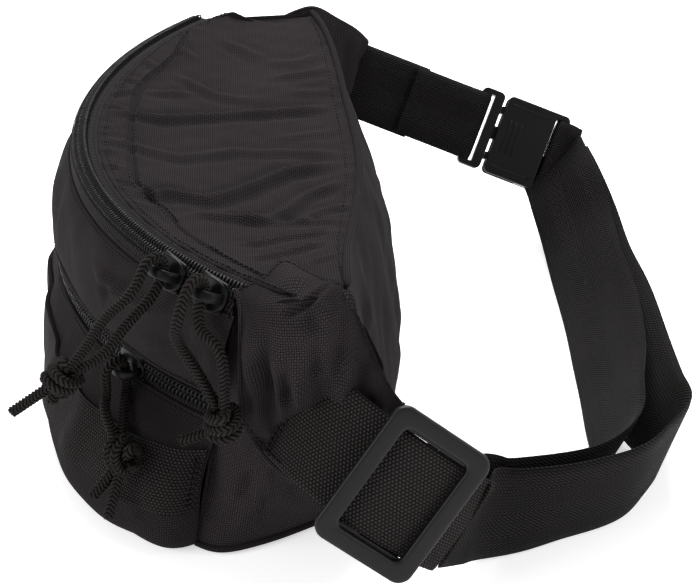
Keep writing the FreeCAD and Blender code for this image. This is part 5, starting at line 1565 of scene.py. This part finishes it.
def ring_pts(at, ax, ac, wraps, r, half, phase, bulge=0.5, swing=0.0):
    """One of the knot's wraps: a helix round the knot's axis that starts and ends inside it."""
    ax, ac = unit(ax), unit(ac)
    ac = unit(ac - ax * (ac @ ax))
    az = np.cross(ax, ac)
    t = np.linspace(0, 1, 90)
    ang = phase + wraps * 2 * math.pi * t
    e = np.clip(np.minimum(t, 1 - t) / 0.10, 0, 1)
    e = e * e * (3 - 2 * e)
    rr = (1.2 + (r - 1.2) * e) + bulge * np.sin(math.pi * t) + swing * np.sin(3 * ang)
    z = -half + 2 * half * t
    return A3(*at) + ax * z[:, None] + (np.cos(ang) * rr)[:, None] * ac + (np.sin(ang) * rr)[:, None] * az


KN = {
    "a": dict(ph=0.9, at=(123.4, -109.6, 73.3), ax=A3(0, -0.77, -0.64), ac=A3(1, 0, 0), tails=[(122.9, -129.5, 59.0), (125.7, -113.9, 64.5)]),
    "b": dict(ph=0.2, at=(148.7, -50.4, 67.5), ax=A3(0, 0, -1), ac=A3(0.7, 0.7, 0), tails=[(149.0, -66.1, 60.7)]),
    "c": dict(ph=2.1, at=(126.7, -90.1, 39.7), ax=A3(0.776, 0.63, 0), ac=A3(0, 0, 1), tails=[(133.4, -101.7, 26.2), (140.1, -96.0, 21.1)]),
}
cords = {}
for k, route, body, exit_mm in (("a", ROUTE_A, "pull_a", ROUTE_A[0]), ("b", ROUTE_B, "pull_b", ROUTE_B[0]), ("c", ROUTE_C, "pull_c", ROUTE_C[0])):
    path = nurbs_points("route_" + k, M(route))
    mm = path * 1000 - SH
    bag, core = Bag(), Bag()
    braid(bag, core, mm)
    o = bag.make("cord_" + k, mat_cord, body, "cord")
    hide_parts("pull_cord_" + k)
    kn = KN[k]
    kb, kc = Bag(), Bag()
    for ph in (0.0, math.pi):
        P = ring_pts(kn["at"], kn["ax"], kn["ac"], 1.25, 4.5, 5.4, ph + kn["ph"], 0.5, 0.25)
        braid(kb, kc, P, phase=ph)
    # the locking turn, slanting across both wraps
    t = np.linspace(0, 1, 60)
    ang = kn["ph"] + 0.9 + 3.6 * t
    ax_, ac_ = unit(kn["ax"]), unit(kn["ac"])
    az_ = np.cross(ax_, ac_)
    rr = 1.5 + 4.0 * np.clip(np.sin(math.pi * t) * 1.5, 0, 1)
    P = A3(*kn["at"]) + ax_ * (6.0 - 11.0 * t)[:, None] + (np.cos(ang) * rr)[:, None] * ac_ + (np.sin(ang) * rr)[:, None] * az_
    braid(kb, kc, P, phase=0.3)
    # the tails run from the knot out to their cut ends
    ax = unit(kn["ax"])
    ac = unit(kn["ac"] - ax * (kn["ac"] @ ax))
    az = np.cross(ax, ac)
    at = A3(*kn["at"])
    for ti, end in enumerate(kn["tails"]):
        d = unit(A3(*end) - at)
        mid = at + d * 6 + ax * 1.5
        t = np.linspace(0, 1, 24)[:, None]
        P = at * (1 - t) ** 2 + 2 * mid * t * (1 - t) + A3(*end) * t * t
        braid(kb, kc, P, phase=ti * 0.7)
        # frayed, slightly splayed cut end
        tip = P[-1]
        tt_ = unit(P[-1] - P[-3])
        r_ = np.random.RandomState(7 + ti)
        for q_ in range(22):
            dr_ = unit(tt_ * 1.6 + r_.normal(size=3) * 0.55)
            st = tip + np.cross(tt_, unit(r_.normal(size=3))) * 1.5 - tt_ * 0.6
            kb.tube(np.array([st, st + dr_ * 0.9, st + dr_ * 1.6 + r_.normal(size=3) * 0.25]), 0.11, 4)
    ko = kb.make("knot_" + k, mat_cord, body, "cord")
    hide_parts("pull_knot_" + k)
    Lr = float(np.linalg.norm(np.diff(path, axis=0), axis=1).sum())
    cords[k] = (o, Lr)
